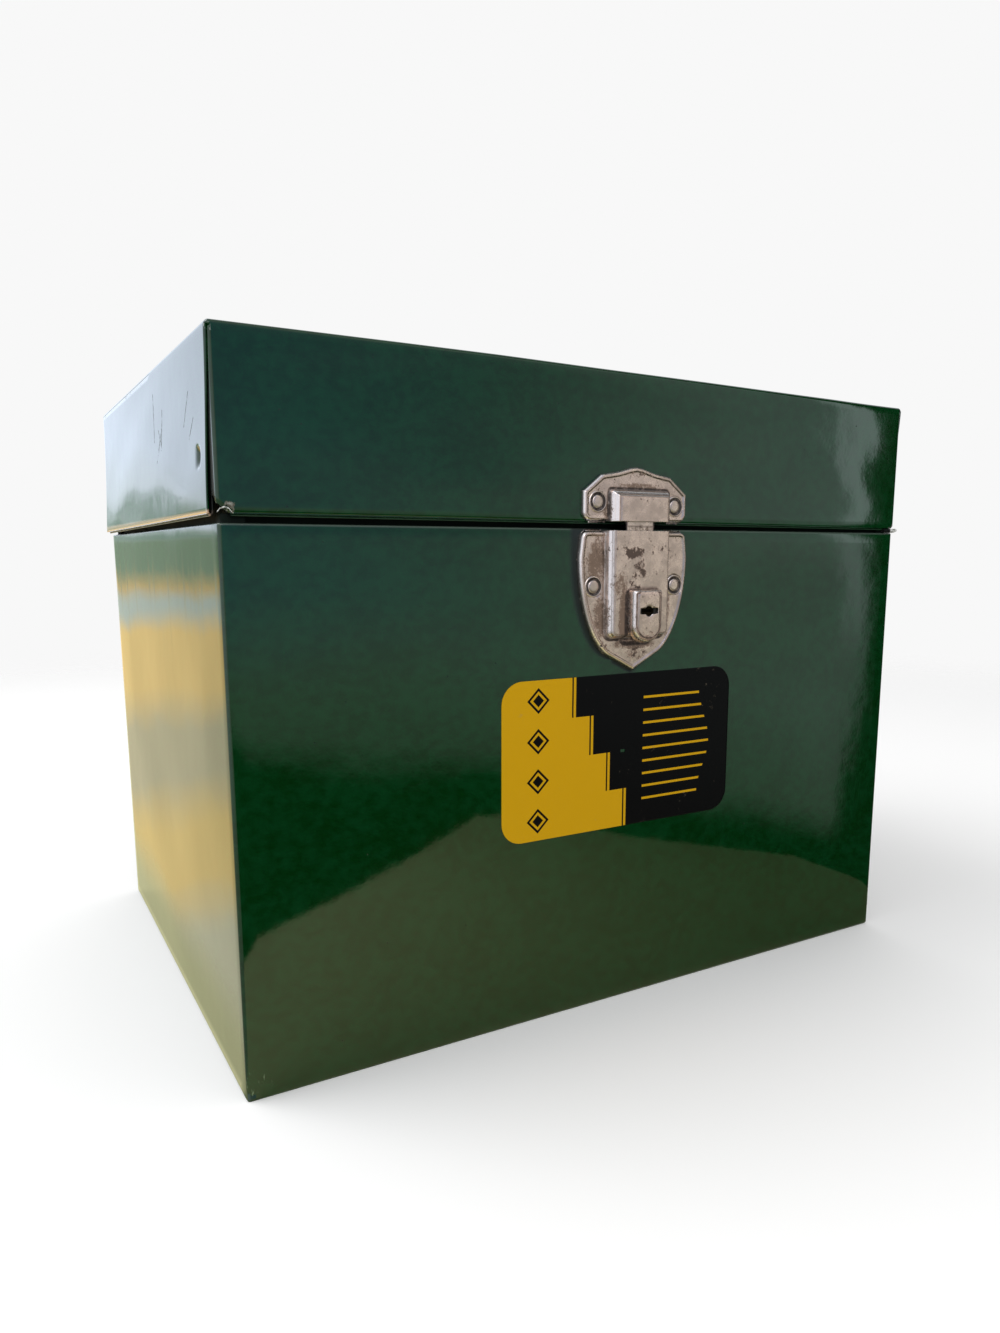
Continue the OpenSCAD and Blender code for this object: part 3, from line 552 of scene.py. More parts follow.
def worn_nickel(name, stains=(), pits=(), base=(0.77, 0.545, 0.43), grime_and_shade=None):
    """Worn nickel plate with spots of stain and pits. The last argument takes the finish and gives the share of
    dirt and painted shade, which lie in the corners of the pressing."""
    metal = Finish(name)
    cloud = metal.noise(5, 4, 0.65)
    grit = metal.noise(0.45, 3, 0.7, 9.0)
    mid = metal.noise(1.8, 3, 0.7, 1.0)
    bright, dark = (tuple(c * k for c in base) for k in (1.08, 0.78))
    colour = metal.blend((cloud * 0.65 + grit * 0.35).step(0.36, 0.64), bright, dark)
    # Faces that slope away from the front, the bevels and walls, are painted lighter: partly rubbed plating,
    # partly a painted highlight.
    slope_for_painted_highlight = metal.node("SeparateXYZ", None, {0: metal.node("NewGeometry", out="Normal")})
    rubbed = abs(slope_for_painted_highlight.out("Y")).step(0.96, 0.75)
    colour = metal.blend(rubbed, colour, metal.blend(grit, (0.70, 0.65, 0.63), (0.52, 0.46, 0.43)))
    brown, hole = metal.spots(stains), metal.spots(pits)
    stain = (brown * 0.21 + grit * 0.5 + mid * 0.5).step(0.58, 0.68)
    haze = (brown * 0.5 + cloud * 0.5).step(0.35, 0.9) * 0.4
    colour = metal.blend(haze, colour, (0.30, 0.21, 0.14))
    colour = metal.blend(stain * 0.8, colour, (0.115, 0.072, 0.045))
    pitted = (hole * 0.17 + metal.noise(2.6, 5, 0.78, 6.0)).step(0.63, 0.67)
    dots = metal.dots(2.6, (0.10, 0.05), 0.70)
    colour = metal.blend(pitted.high(dots * 0.7), colour, (0.085, 0.055, 0.040))
    away = pitted.high(stain * 0.8)
    if grime_and_shade:
        # Dirt and painted shade darken the corners and grooves of the pressing, and make them dull.
        dirt_and_shade = grime_and_shade(metal) * (mid.step(0.30, 0.55) * 0.3 + 0.7)
        colour = metal.blend(dirt_and_shade * 0.96, colour, (0.022, 0.013, 0.010))
        away = away.high(dirt_and_shade)
    rough = cloud * 0.12 + 0.19 + away * 0.36 - rubbed * 0.06 + grit * 0.05
    return metal.surface(
        {"Base Color": colour, "Metallic": 1 - away * 0.7, "Roughness": rough},
        grit * 0.35 + cloud * 0.8 + mid * 0.5 - pitted * 1.6 - dots * 0.8, 0.035,
    )


def lock_grime_and_shade(metal):
    # Painted shade and dirt: dark lines at the case's foot and face edge, round the button's foot and round the
    # rivet seats.
    case = metal.frame((lock_mid, lock_top - case_h / 2 + 10), (case_foot, case_h / 2 + 10), 3.4)
    button = metal.frame((3.7, 163.7), (7.7, 10.8), 3.0)
    rivet = metal.ring(lock_mid, 20.1, 175.6)
    low = metal.z.step(158, 154.5) * 0.5 + 0.5
    foot = case.near(0.2, 0.35, 0.6) * low
    face = case.near(-1.9, 0.08, 0.35) * 0.5
    edges = foot.high(face).high(button.near(0.2, 0.5, 0.9) * metal.z.step(176, 174))
    return edges.high(rivet.near(3.7, 0.1, 0.5) * 0.5)


lock_nickel = worn_nickel(
    "worn_nickel_lock",
    stains=[(-15.5, 186, 5.0, 13, 1.0), (-14.0, 164, 4.0, 12, 1.0), (-20, 183, 4, 7, 0.5),
            (3, 152.2, 15, 2.2, 1.0), (-6.0, 163, 3.0, 12, 1.2), (-4.5, 158, 2.5, 6, 1.0),
            (-7, 176, 5, 7, 0.8), (19.0, 166, 2.4, 15, 0.8), (3.6, 148, 8, 4, 0.55), (20, 187, 3, 8, 0.3)],
    pits=[(-1.5, 188.5, 7.0, 3.5, 1.3), (2, 182, 5.5, 5, 0.9), (8, 190, 9, 3, 0.5), (-1, 176, 4, 6, 0.6),
          (-14, 190, 6, 8, 0.4), (5, 149, 8, 3, 0.8), (-12, 152, 3, 4, 0.6)],
    grime_and_shade=lock_grime_and_shade,
)


def ease(t):
    t = np.clip(t, 0, 1)
    return t * t * (3 - 2 * t)


def thicken(made, thickness, inside=0):
    """Gives a shell its sheet's thickness, inwards; inside is the step from its outer finish to its inner one."""
    solid = made.modifiers.new("sheet", "SOLIDIFY")
    solid.thickness, solid.offset, solid.material_offset = thickness / 1000, -1, inside


def pressed_plate(name, middle, open_z, way, length, half_width, case, rivets, body, node, material, back=0.15):
    """A plate pressed over a die, in rows from its open end at open_z up (way 1) or down (-1). half_width gives
    its outline at a distance from that end, and case is (offset, half width, length, rise, corner, bevel)."""
    case_off, case_w, case_l, case_rise, case_corner, bevel = case
    foot = front_y - back + 0.1
    rows = spread((0, 2.4, 12), (2.4, case_l - 2.8, 50), (case_l - 2.8, case_l + 0.8, 22),
                  (case_l + 0.8, length - 1.5, 24), (length - 1.5, length - 0.02, 9))
    line = np.array([(0.0, 0.0)] + [(half_width(t), t) for t in np.linspace(0, length, 160)] + [(0.0, length)])
    seg_a, along = line[:-1], np.diff(line, axis=0)
    points = []
    for t in rows:
        w = half_width(t)
        inner = min(case_w + 1.8, max(w - 1.6, 0.6 * w))
        flat = min(case_w - 4.2, 0.75 * inner)
        right = np.concatenate([np.linspace(0, flat, 15), np.linspace(flat, inner, 31)[1:],
                                inner + (w - inner) * np.sin(np.linspace(0, pi / 2, 25))[1:]])
        across = np.concatenate([-right[:0:-1], right])
        p = np.stack([np.abs(across), np.full(len(across), t)], 1)
        share = np.clip(((p[:, None] - seg_a) * along).sum(2) / np.maximum((along ** 2).sum(1), 1e-9), 0, 1)
        rim = np.linalg.norm(p[:, None] - (seg_a + share[..., None] * along), axis=2).min(1)
        edge = np.clip(rim / 1.15, 0, 1)
        rounded = back + (plate_rim - back) * np.sqrt(1 - (1 - edge) ** 2)
        height = rounded - (plate_rim - plate_face) * ease((rim - 1.5) / 0.7)
        qx, qt = np.abs(across - case_off) - (case_w - case_corner), t - (case_l - case_corner)
        inside = case_corner - np.hypot(np.maximum(qx, 0), max(qt, 0)) - np.minimum(np.maximum(qx, qt), 0)
        wall = np.interp(inside / bevel, *case_wall)
        height = np.where(inside > 0, plate_face + (case_rise - plate_face) * wall, height)
        for x, z in rivets:
            away = np.hypot(across - x, t - way * (z - open_z))
            height = height - np.where(inside > 0, 0, 0.9 * np.clip((3.85 - away) / 0.4, 0, 1))
        row = [(middle + x, front_y - h, open_z + way * t) for x, h in zip(across, height)]
        row = [(row[0][0], foot, row[0][2])] + row + [(row[-1][0], foot, row[-1][2])]
        columns = len(row)
        points += row
    lip = [(x, foot, z) for x, _, z in points[:columns]]
    shut = [abs(x - middle - case_off) > case_w + 0.2 for x, _, _ in lip]
    start = len(points)
    faces = net(len(rows), columns)
    faces += [[c, c + 1, start + c + 1, start + c] for c in range(columns - 1) if shut[c] and shut[c + 1]]
    made = piece(name, points + lip, faces, body, material, node, (0, -1, 0))
    thicken(made, 0.6)


shield_len, widest, tip_from = 55.7, 10, 48.77


def shield_half(t):
    """Half the shield's width: a round upper corner, a near straight side, a quarter of an ellipse and the tip."""
    if t < 3:
        return 22.8 + sqrt(max(9 - (3 - t) ** 2, 0))
    if t < widest:
        return 25.8 + 0.9 * (t - 3) / 7
    if t < tip_from:
        return 6.7 + 20 * sqrt(1 - ((t - widest) / 41) ** 2)
    return 13.2 * (shield_len - t) / (shield_len - tip_from)


pressed_plate("lock_shield", lock_mid, lock_top, -1, shield_len, shield_half,
              (0.1, case_foot, case_h, 6.7, 3.4, 1.0), lock_rivets, "base", "lock_plate", lock_nickel)


def rivet_nickel(name, middle, places):
    def grime_and_shade(metal):
        dirt_and_shade = 0.0
        for x, z in places:
            reach = metal.ring(middle + x, 0.0, z)
            # Painted shade and dirt darken the groove round each rivet head, with a faint ring on the head's edge.
            groove = reach.step(2.36, 2.5) * reach.step(3.75, 3.5)
            dirt_and_shade = groove.high(reach.near(2.2, 0.0, 0.3) * 0.15).high(dirt_and_shade)
        return dirt_and_shade
    return worn_nickel(name, base=(0.79, 0.575, 0.455), grime_and_shade=grime_and_shade)


def flat_rivets(name, middle, places, body, node):
    """Flat rivets with a small round edge, each in a groove with a low lip round it."""
    profile = [(0.02, 0.16), (1.4, 0.15), (2.15, 0.10), (2.4, 0.0), (2.56, -0.25), (2.62, -0.62), (2.85, -0.75),
               (3.15, -0.65), (3.4, -0.25), (3.55, 0.12), (3.75, 0.24), (4.0, 0.15), (4.25, -0.06), (4.2, -0.5),
               (1.6, -1.1), (1.6, -3.8), (2.2, -3.9), (2.1, -4.5), (0.02, -4.55)]
    points, faces = [], []
    for x, z in places:
        faces += net(len(profile), 40, len(points), around=True)
        points += [(px, front_y - plate_face - out, pz) for r, out in profile
                   for px, pz in arc(middle + x, z, r, 0, 351, 40)]
    nickel = rivet_nickel("worn_nickel_" + node, middle, places)
    piece(name, points, faces, body, nickel, node)


flat_rivets("lock_rivet_heads", lock_mid, lock_rivets, "base", "lock_rivets")
for node in ("lock_back_plate", "lock_backing", "latch_lever"):
    eased(node, bare_steel)
eased("latch_pin", bare_steel, 0.05)


# Slide: button, carrier, spring and tumbler
# The button is drawn from plated sheet, with a small step round its face and a keyhole punched in it. Behind it a
# steel carrier runs in the case's slot on a coil spring, and holds the brass tumbler that the key turns.
button_top, button_bottom, button_w = 174.3, 153.1, 15.0
button_x = 3.7
key_z = 166.0


def button_ring(inset, top):
    """The button's outline from the front, clockwise from its upper left corner."""
    r = button_w / 2 - inset
    low, high = button_bottom + button_w / 2 - inset * 0.2, button_top - top
    soft = min(1.0, r / 3)
    share = np.linspace(0, 1, 14, endpoint=False)
    ring = [((r - soft) * (2 * t - 1), high) for t in share] + arc(r - soft, high - soft, soft, 90, 0, 5)[:-1]
    ring += [(r, (high - soft) * (1 - t) + low * t) for t in share] + arc(0, low, r, 0, -180, 31)[:-1]
    ring += [(-r, low * (1 - t) + (high - soft) * t) for t in share]
    return ring + arc(soft - r, high - soft, soft, 180, 90, 5)[:-1]


def keyhole_ring(ring):
    """The keyhole's edge, seen at the same angles as a ring of the button."""
    wing, wing_h, middle = 4.45, 1.2, 2.0
    edge = []
    for x, z in ring:
        a = atan2(z - key_z, x)
        c, s = abs(cos(a)), abs(sin(a))
        reach = max(middle, min(wing / max(c, 1e-6), wing_h / max(s, 1e-6)))
        edge.append((reach * cos(a), key_z + reach * sin(a)))
    return edge


def slide_button():
    shape = [(0.0, 0.0, 6.2), (0.1, 0.0, 7.4), (0.3, 0.05, 8.8), (0.55, 0.1, 9.7), (0.85, 0.3, 10.3),
             (1.25, 0.6, 10.72), (1.6, 0.9, 10.84), (1.95, 1.15, 10.84), (2.1, 1.25, 10.86), (2.35, 1.5, 11.0),
             (2.7, 1.9, 11.02)]
    rings = [[(x, z, out) for x, z in button_ring(inset, top)] for inset, top, out in shape]
    last = [(x, z) for x, z, _ in rings[-1]]
    hole = keyhole_ring(last)
    for share, out in ((0.35, 11.04), (0.7, 11.05), (0.94, 11.04), (1.0, 10.96), (1.0, 10.1)):
        rings.append([(a + (c - a) * share, b + (d - b) * share, out) for (a, b), (c, d) in zip(last, hole)])
    points = [(button_x + x, front_y - out, z) for ring in rings for x, z, out in ring]
    made = piece("button", points, net(len(rings), len(rings[0]), around=True), "slide", button_nickel,
                 "slide_button", (0, -1, 0))
    thicken(made, 0.6)


def button_grime_and_shade(metal):
    # Painted shade and dirt: a thin dark line along the step round the button's face and round its keyhole.
    face = metal.frame((button_x, 165.4), (6.0, 10.0), 5.9)
    square = metal.frame((button_x, 168.0), (6.0, 5.1), 0.6)
    return square.low(face).near(0.0, 0.16, 0.35) * 0.9


button_nickel = worn_nickel(
    "worn_nickel_button", stains=[(3.6, 156, 8, 3, 0.6), (-3.4, 165, 1.5, 12, 0.3)],
    pits=[(3.6, 172, 6, 2, 0.4)], base=(0.81, 0.565, 0.45), grime_and_shade=button_grime_and_shade,
)
slide_button()
eased("slide_carrier", steel("oiled_steel", (0.06, 0.052, 0.045), 0.5, (0.012, 0.009, 0.007), 0.9))
eased("key_tumbler", brass_painted_shade, 0.06)


def coil():
    """The return spring, wound from 0.4 mm wire. Its foot stands in the case, and the slide presses it down;
    this coil is made at one length.
    """
    turns, mean_r, wire, foot, rise, travel = 6, 1.2, 0.2, 155.55, 6.6, 4.0
    axis_y = front_y - 3.6
    points, steps = [], turns * 24
    for k in range(steps + 1):
        a = 2 * pi * k / 24
        for b in np.linspace(0, -2 * pi, 8, endpoint=False):
            r = mean_r + wire * cos(b)
            x, y, z = r * cos(a), r * sin(a), wire + rise * k / steps + wire * sin(b)
            points.append((lock_x + x, axis_y + y, foot + z))
    faces = net(steps + 1, 8, around=True) + [list(range(8)), list(range(len(points) - 1, len(points) - 9, -1))]
    made = piece("spring_coil", points, faces, "base", spring_steel, "return_spring")
    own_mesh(made)


coil()


# Label
# A thin printed foil glued flat on the front. Its design is a generic one: gold index tabs stepped over a black
# ground, a column of diamonds and ruled lines. The print is glossy, rubbed and scratched.
label_w, label_h, label_low, label_r = 114.7, 64.2, 76.0, 9.0
tab_h = label_h / 4


def label_print():
    print_ = Finish("label_foil")
    x, z = print_.x, print_.z - (label_low + label_h / 2)
    gold, black = (0.46, 0.255, 0.003), (0.0030, 0.0028, 0.0030)
    place = z / tab_h + 2.0
    steps = place.floor()
    tab = (steps * -8.5 + 2.0) - x
    ground = print_.blend(tab.step(-0.12, 0.12), black, gold)
    on_gold = tab.step(1.9, 2.0)
    diamond = 5.2 - abs(x + 41.0) - abs((place - steps - 0.5) * tab_h)
    ring = (diamond.step(0.0, 0.2) - diamond.step(1.3, 1.5)) + diamond.step(2.6, 2.8)
    ground = print_.blend(ring * on_gold, ground, black)
    edge = 1.0 - (abs(tab - 1.5) - 0.35).step(-0.1, 0.1)
    ground = print_.blend(edge, ground, black)
    line_z = z / 5.4
    rule = abs(line_z - line_z.nearest()) * 5.4
    ends = print_.noise(40, 0, 0.5, 3.0, (0.0, 1, 1))
    ruled = rule.step(0.55, 0.45) * x.step(10.2, 10.3) * (ends * 30 + 28.0 - x).step(-0.1, 0.1)
    ruled = ruled * (24 - abs(z)).step(0, 0.1)
    ground = print_.blend(ruled, ground, gold)
    rubbed = print_.noise(1.2, 3, 0.7, 5.0) * 0.5 + print_.noise(9, 3, 0.6) * 0.5
    worn = rubbed.step(0.63, 0.7)
    ground = print_.blend(worn * 0.35, ground, (0.16, 0.13, 0.09))
    return print_.surface(
        {"Base Color": ground, "Roughness": rubbed * 0.16 + 0.16 + worn * 0.2, "Specular IOR Level": 0.06},
        print_.noise(11, 2) + rubbed * 0.2, 0.02,
    )


def label():
    w, h, r = label_w / 2, label_h / 2, label_r
    rim = [point for sx, sz, start in ((1, 1, 0), (-1, 1, 90), (-1, -1, 180), (1, -1, 270))
           for point in arc(sx * (w - r), sz * (h - r), r, start, start + 90, 12)]
    rings = [(1.0, 0.02), (1.0, 0.14), (0.998, 0.2), (0.985, 0.2)]
    rings += [(share, 0.2) for share in np.linspace(0.9, 0.02, 14)]
    points = []
    for share, out in rings:
        for x, z in rim:
            x, up = share * x, label_low + h + share * z
            points.append((x, front_y + front_wave(x, up) - out, up))
    piece("label", points, net(len(rings), len(rim), around=True), "base", label_print(), "label_plate",
          (0, -1, 0))


label()


# Lid: shell
# A pan pressed from one blank: the top and four flanges bent down, folded in along the lower edge. Each corner
# is an open slit. The front flange turns round behind the side flanges, whose front corners stand off a little.
lid_z, top_z, lid_edge = 201.0, 257.2, 1.5
wrap_r = 1.1
tab_x, bend_x = half_w - 0.75, 156.9
fold_r = 0.95


def lid_marks(paint, colour, rough):
    edge_x = (abs(paint.x) - (half_w - 1.0)).step(0.0, 1.3)
    edge_y = (abs(paint.y) - (half_d - 1.0)).step(0.0, 1.3)
    edge_z = (paint.z - (top_z - 0.8)).step(0.0, 1.3)
    rim = (edge_x * edge_y).high(edge_x * edge_z).high(edge_y * edge_z)
    chips = paint.noise(3.0, 4, 0.7, 8.0)
    crumple = paint.spot((-half_w + 4.0, -half_d - 1, 203.0), (4.5, 4, 5.0))
    bare = ((crumple * 0.22 + chips) * rim.high(crumple)).step(0.66, 0.71)
    left = paint.x.step(-half_w + 3, -half_w)
    scratch = 0.0
    scratches = ((-28, 240, 0.03, 9), (-43.5, 234, -0.22, 7), (-40, 231, 0.9, 3.5), (-40, 231, -0.9, 3.5),
                 (-36, 226, -1.1, 3), (-88, 236, -0.9, 5), (-95, 229, -1.3, 3))
    for y, z, lean, length in scratches:
        off = abs((paint.y - y) - (paint.z - z) * lean)
        broken = paint.noise(1.6, 2, 0.6, float(length)).step(0.38, 0.5)
        scratch = (off.step(0.75, 0.2) * (abs(paint.z - z) - length).step(0.6, 0.0) * broken).high(scratch)
    scratch = scratch * left
    # A tan band along the lower left fold is a painted reflection of tan ground.
    fold = paint.z.step(202.6, 201.6) * left
    colour = paint.blend(fold * 0.85, colour, (0.50, 0.33, 0.21))
    colour = paint.blend(scratch * 0.85, colour, (0.02, 0.028, 0.024))
    # The front flange's tabs, seen through the corner slits, are painted nearly black as shade.
    tab = paint.y.step(-half_d + 0.9, -half_d + 1.3) * paint.y.step(-half_d + 26, -half_d + 24)
    tab_painted_shade = tab * (half_w + 0.5 - abs(paint.x)).step(0.0, 0.2) * paint.z.step(top_z - 2, top_z - 6)
    colour = paint.blend(tab_painted_shade * 0.9, colour, (0.0006, 0.0010, 0.0008))
    wiped = paint.noise(6, 3, 0.6, 5.0, (1, 1, 0.2)).step(0.5, 0.75)
    rough = rough + scratch * 0.5 + wiped * left * 0.05 + tab_painted_shade * 0.5
    return bare, colour, rough


enamel_lid = green_enamel("green_enamel_lid", lid_marks)


def askew(x, y, z, sprung=False):
    """Where a point of the true lid lies on this one, which sits a little high at the left and is sprung open."""
    up = min(1.0, max(0.0, (z - lid_z) / (top_z - lid_z)))
    back = (y + half_d) / box_d
    at_front = float(np.interp(x, [-158, -95, -57, -13, 36, 93, 158], [1.5, 1.45, 1.3, 0.72, 0.25, -0.5, -1.2]))
    at_side = 1.5 + 0.8 * back if x < 0 else -1.2 * (1 - back)
    from_front, from_side = max(0.0, 1 - back * 5.0), max(0.0, 1 - (half_w - abs(x)) / 45)
    top = (at_front * from_front * (1 - from_side) + at_side * from_side)
    low = (-0.1 - 0.85 * (x + half_w) / box_w) * (1 - back) - (1.8 * back if sprung else 0.0)
    lower = 1 - up
    splay = (0.9 + 1.4 * back if x < 0 else 0.3 + 0.5 * back) * lower ** 1.6 * sprung
    wide, deep = x * (1 + 0.9 / half_w), half_d - (half_d - y) * (1 + 0.5 / box_d)
    return wide + copysign(splay, x), deep, z + top * up + low * lower


def folded(k, foot):
    """Inset and height of the lid's lower edge at step k: six steps go round the fold, and the rest up inside."""
    a = radians(min(k, 6) * 30)
    return fold_r * (1 - cos(a)), foot + fold_r - fold_r * sin(a) + (hem_h - fold_r) * max(k - 6, 0) / 3


def long_flange(sy, xs):
    """The front (sy -1) or back flange, turned round both corners into tabs, and which of its faces there are."""
    bend_y = half_d - wrap_r
    right = [(bend_x + wrap_r * sin(a), bend_y + wrap_r * cos(a), sin(a), cos(a))
             for a in np.radians((22.5, 45, 67.5, 90))]
    right += [(tab_x, bend_y - d, 1, 0) for d in ((2, 8, 14, 22) if sy < 0 else (1.5, 3))]
    walk = [(-x, y, -nx, ny) for x, y, nx, ny in right[::-1]] + [(x, half_d, 0, 1) for x in xs[1:-1]] + right
    hemmed = [sy < 0 and -154.2 < x < 155.9 and abs(nx) < 0.1 for x, _, nx, _ in walk]
    grid = []
    for k in range(35):
        row = []
        for (x, y, nx, ny), hem in zip(walk, hemmed):
            clip, slant = (154.2, 0.9) if x < 0 else (155.9, 0.8)
            foot = lid_z + (max(abs(x) - clip, 0) * slant if sy < 0 else 0.1)
            if abs(nx) > 0.5:
                foot = lid_z + (3.0 if x < 0 and sy < 0 else 1.6)
            if y < bend_y - 0.5:
                foot = 206.5
            inset, z = 0.0, foot
            if k < 26:
                z = top_z - lid_edge + (foot + (fold_r if hem else 0) - top_z + lid_edge) * k / 25
                if abs(nx) < 0.1:
                    inset = dent((x + half_w) / box_w, (z - lid_z) / 54.7, 4.2 + sy, 0.20)
            elif hem:
                inset, z = folded(k - 25, foot)
            row.append((x - nx * inset, sy * (y - ny * inset), z))
        grid.append(row)
    return grid, lambda r, c: r < 25 or (hemmed[c] and hemmed[c + 1])


def side_flange(sx, ys):
    """A side flange, with its front edge set back in a long lens, and which of its faces there are. The left one
    has a dimple, and the right one's lower front corner is curled in."""
    zs = spread((top_z - lid_edge, 226, 16), (226, 212, 26), (212, 203, 8))[::-1]
    hemmed = [-115.5 < y < half_d - 7 for y in ys]
    grid = []
    for k in range(len(zs) + 10):
        row = []
        for y, hem in zip(ys, hemmed):
            inset, z = 0.0, lid_z + max(0.0, fold_r - 0.4 * (k - len(zs)))
            if k < len(zs):
                z = zs[k]
            elif hem:
                inset, z = folded(k - len(zs), lid_z)
            share = (top_z - lid_edge - z) / (top_z - lid_edge - lid_z)
            lens = (4.6 if sx < 0 else 2.2) * sin(pi * 0.6 * max(share, 0) ** 1.6)
            place = y
            if y == ys[0]:
                place += lens - max(0.0, 1 - share / 0.5)
            elif y < -112:
                place += lens * (-112 - y) / 7
            elif y == ys[-1]:
                place -= 1.2 * share
            if k <= len(zs):
                inset += dent((y + half_d) / box_d, (z - lid_z) / 54.7, 5.1 + sx, 0.22)
                if sx < 0:
                    middle = -104.0 + 0.07 * (z - 219) ** 2
                    inset += 1.3 * exp(-((y - middle) / 2.2) ** 2) * max(0.0, 1 - ((z - 219) / 4.0) ** 2) ** 1.5
            if sx > 0 and y < -117 and z < 203.5:
                curl = (203.5 - z) / 2.5 * (-117 - y) / 2.5
                inset, z = inset - 1.7 * curl, z - 0.8 * curl
            row.append((sx * (half_w - inset), place, z))
        grid.append(row)
    return grid, lambda r, c: r < len(zs) + 2 or (hemmed[c] and hemmed[c + 1])


def lid_shell():
    end_x, end_y = half_w - lid_edge, half_d - lid_edge
    xs = spread((-end_x, -bend_x, 1), (-bend_x, -150, 8), (-150, 150, 56), (150, bend_x, 8), (bend_x, end_x, 1))
    ys = spread((-end_y, -112, 6), (-112, -96, 32), (-96, -60, 12), (-60, 112, 24), (112, end_y, 6))
    points, faces = [], []

    def add(grid, keep=None, sprung=False):
        faces.extend(net(len(grid), len(grid[0]), len(points), keep=keep))
        points.extend(askew(*p, sprung) for row in grid for p in row)

    def crown(x, y):
        if x in (xs[0], xs[-1]) or y in (ys[0], ys[-1]):
            return top_z
        u, v = (x + half_w) / box_w, (y + half_d) / box_d
        calm = min(1.0, max(0.0, (max(abs(x) / 85, abs(y - 12) / 45) - 1) / 0.5))
        return top_z + calm * (dent(u, v, 2.6, 0.28) - 0.25 * sin(pi * u) * sin(pi * v))

    add([[(x, y, crown(x, y)) for x in xs] for y in ys])
    bend = [(lid_edge * (1 - cos(a)), top_z - lid_edge + lid_edge * sin(a))
            for a in np.radians(np.linspace(90, 0, 7))]
    for s in (-1, 1):
        add([[(x, s * (half_d - inset), z) for x in xs] for inset, z in bend])
        add([[(s * (half_w - inset), y, z) for y in ys] for inset, z in bend])
        for sy in (-1, 1):
            turns = [(arc(end_x, end_y, lid_edge - inset, 0, 90, 6), z) for inset, z in bend]
            add([[(s * x, sy * y, z) for x, y in turn] for turn, z in turns])
        add(*long_flange(s, xs))
        add(*side_flange(s, ys), True)
    return piece("lid_pan", points, faces, "lid", [enamel_lid, enamel_inside], "lid_shell")


lid = lid_shell()


def outward(made, centre):
    """Joins the seams of an open shell and turns its faces out from a centre."""
    work = bmesh.new()
    work.from_mesh(made.data)
    bmesh.ops.remove_doubles(work, verts=work.verts, dist=2e-5)
    work.normal_update()
    for face in work.faces:
        middle = face.calc_center_median()
        if sum(n * (c - m / 1000) for n, c, m in zip(face.normal, middle, centre)) < 0:
            face.normal_flip()
    work.to_mesh(made.data)
    work.free()


outward(lid, (0, 0, 120))
thicken(lid, 0.68, inside=1)


def hem_ends_and_seam_shade():
    """The torn ends of the front fold, bent down at the left corner and out at the right one, the enamel gone.
    The right one starts in the gap between lid and base, where it is painted black as shade.
    """
    bare = Finish("bare_hem_end_and_seam_shade")
    grain = bare.noise(0.7, 3, 0.7)
    torn = bare.x.step(156.2, 157.0).high(bare.x.step(-150, -151))
    colour = bare.blend(grain.step(0.4, 0.6), (0.14, 0.14, 0.12), (0.74, 0.74, 0.70))
    # Between the ends the strip is painted black, as shade in the seam.
    colour = bare.blend(torn, (0.0012, 0.0016, 0.0012), colour)
    metal = bare.surface({"Base Color": colour, "Metallic": torn * 0.3,
                          "Roughness": grain * 0.2 + 0.7 - torn * 0.4, "Specular IOR Level": 0.2}, grain, 0.05)
    points, faces = [], []
    left = [(-158.8, -121.0, 201.3, 0.22), (-158.0, -121.2, 202.3, 0.25), (-156.6, -121.3, 202.9, 0.28),
            (-155.2, -121.3, 202.5, 0.25), (-154.2, -121.3, 201.3, 0.2)]
    right = [(152.2, -120.2, 199.0, 1.0), (156.3, -120.3, 199.0, 1.0), (157.2, -120.7, 199.0, 0.98),
             (159.0, -121.0, 199.1, 0.95), (160.6, -120.9, 199.3, 0.75), (161.5, -120.2, 199.7, 0.35)]
    for route in (left, right):
        start = len(points)
        for x, y, z, thick in route:
            for a in np.linspace(0, 2 * pi, 8, endpoint=False):
                points.append((x, y + thick * cos(a), z + thick * sin(a)))
        faces += net(len(route), 8, start, around=True)
        faces += [list(range(start, start + 8)), list(range(len(points) - 8, len(points)))]
    piece("lid_hem_ends_and_seam_shade", points, faces, "lid", metal, None)


hem_ends_and_seam_shade()


# Lid: catch
# The catch is pressed from the same plated sheet, with a raised housing over the hook, which hangs from a strap
# under the plate into the lock's case. Two flat rivets hold both, clinched on a strip inside the lid.
catch_z, catch_mid, catch_len, housing_off = 200.75, 3.1, 21.3, 1.1
catch_rivets = [(-18.7, 208.2), (19.2, 207.1)]


def catch_half(t):
    if t < 3.4:
        return 21.9 + sqrt(max(3.4 ** 2 - (3.4 - t) ** 2, 0))
    return float(np.interp(t, [3.4, 11.4, 18.0, 19.2, 20.9, catch_len], [25.3, 25.3, 16.8, 9.2, 3.0, 0.0]))


def catch_grime_and_shade(metal):
    # Painted shade and dirt: dark lines at the housing's foot and face edge, and round the rivet seats.
    housing = metal.frame((catch_mid + housing_off, catch_z + 2.3), (14.7, 10.2), 1.4)
    rivet = metal.ring(catch_mid + 0.25, 18.95, 207.6)
    edges = housing.near(0.2, 0.3, 0.5).high(housing.near(-2.8, 0.1, 0.35) * 0.6)
    return edges.high(rivet.near(3.7, 0.1, 0.5) * 0.4)


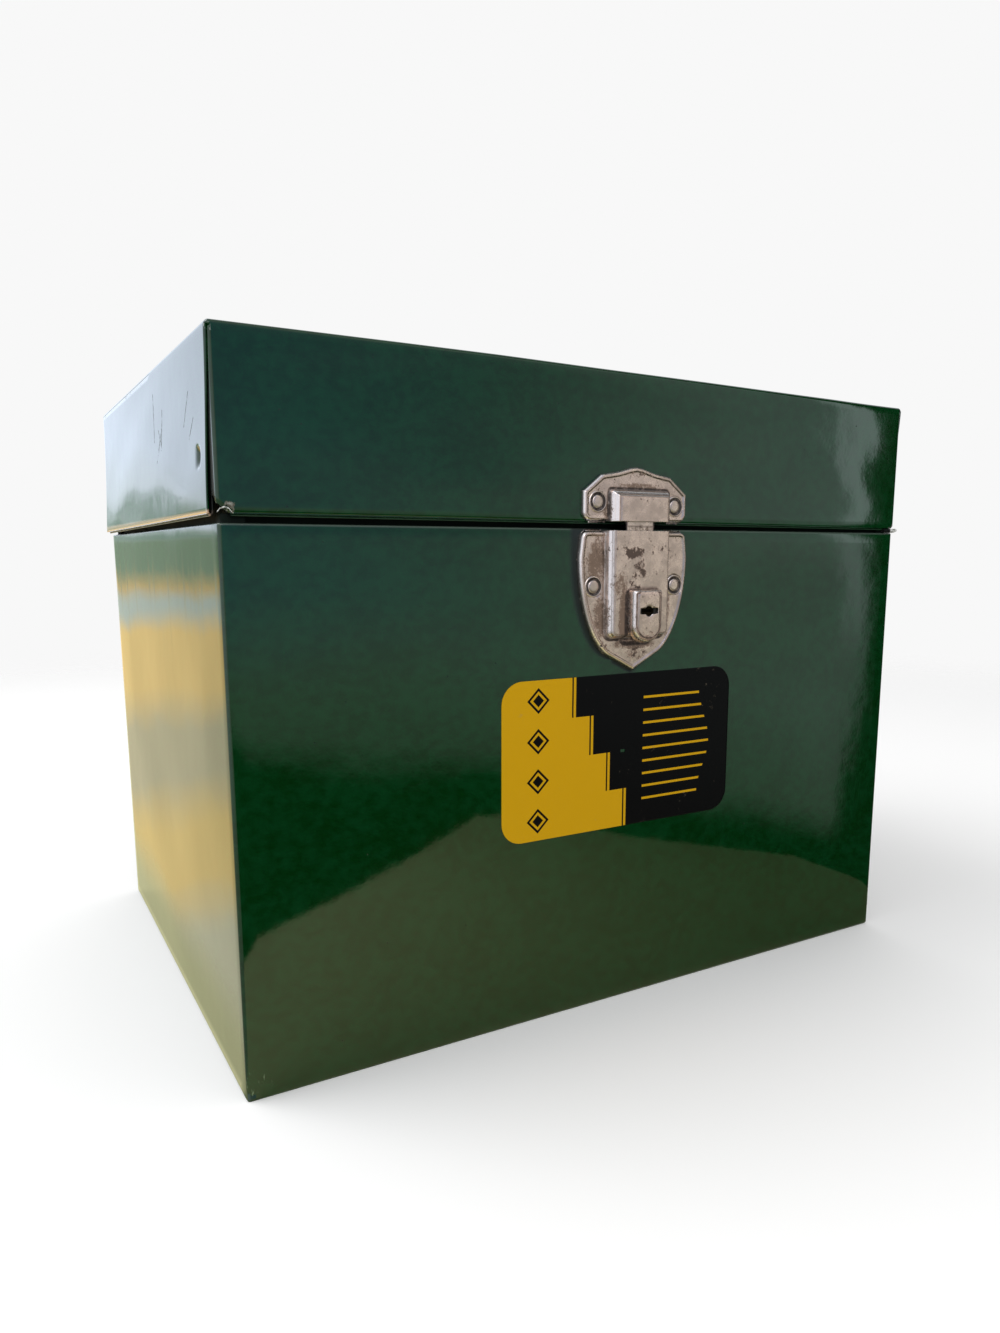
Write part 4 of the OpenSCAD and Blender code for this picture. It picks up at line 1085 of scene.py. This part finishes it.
catch_nickel = worn_nickel(
    "worn_nickel_catch", stains=[(-11.5, 205, 2.4, 6, 0.9), (4, 214.6, 15, 1.6, 0.8), (19, 212, 5, 4, 0.3)],
    pits=[(3.6, 219, 9, 2, 0.6), (-16, 212, 4, 3, 0.5)], grime_and_shade=catch_grime_and_shade,
)
pressed_plate("catch_cover", catch_mid, catch_z, 1, catch_len, catch_half,
              (housing_off, 14.9, 12.5, 6.3, 2.0, 1.6), catch_rivets, "lid", "catch_plate", catch_nickel, back=0.6)
flat_rivets("catch_rivet_heads", catch_mid, catch_rivets, "lid", "catch_rivets")


def hook_grime_and_shade(metal):
    # Painted shade and dirt: the hook is darkened beyond the part seen between lid and base, and along a line
    # level with the base's fold.
    return metal.frame((3.4, 196.0), (6.4, 12.0), 1.5).step(-0.5, 0.2).high(metal.z.near(198.9, 0.1, 0.5) * 0.5)


hook_nickel = worn_nickel("worn_nickel_hook", stains=[(3.6, 197, 9, 3, 0.6)], base=(0.78, 0.57, 0.45),
                          grime_and_shade=hook_grime_and_shade)
eased("catch_hook", hook_nickel, 0.3)
eased("catch_backing", bare_steel)


# Handle
# A wire bail, bent from nickel-plated rod, folds flat on the lid. Each end turns in a strap bracket that is bent
# over it and riveted to the lid through a flange on each side.
bright_wire = worn_nickel("bright_wire", base=(0.66, 0.62, 0.57))
pivot_z, bail_half, bail_reach, bail_r = 260.0, 46.0, 38.0, 2.4


def bail():
    half = [(60.6, 0), (52, 0)] + arc(bail_half + 4.5, 4.5, 4.5, 270, 180, 9)
    half += arc(bail_half - 9, bail_reach - 9, 9, 0, 90, 9)
    route = half + [(-x, y) for x, y in half[::-1]]
    curve = bpy.data.curves.new("bail", "CURVE")
    curve.dimensions, curve.use_fill_caps = "3D", True
    curve.bevel_depth, curve.bevel_resolution = bail_r / 1000, 8
    line = curve.splines.new("POLY")
    line.points.add(len(route) - 1)
    for point, (x, y) in zip(line.points, route):
        point.co = (x / 1000, y / 1000, pivot_z / 1000, 1)
    line.use_smooth = True
    curve.materials.append(bright_wire)
    made = bpy.data.objects.new("bail", curve)
    scene.collection.objects.link(made)
    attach(made, "handle")
    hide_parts("handle_bail")


bail()
for side in ("left", "right"):
    eased("handle_bracket_" + side, bright_wire, 0.25)
eased("handle_rivets", worn_nickel("worn_nickel_plain"), 0.2)
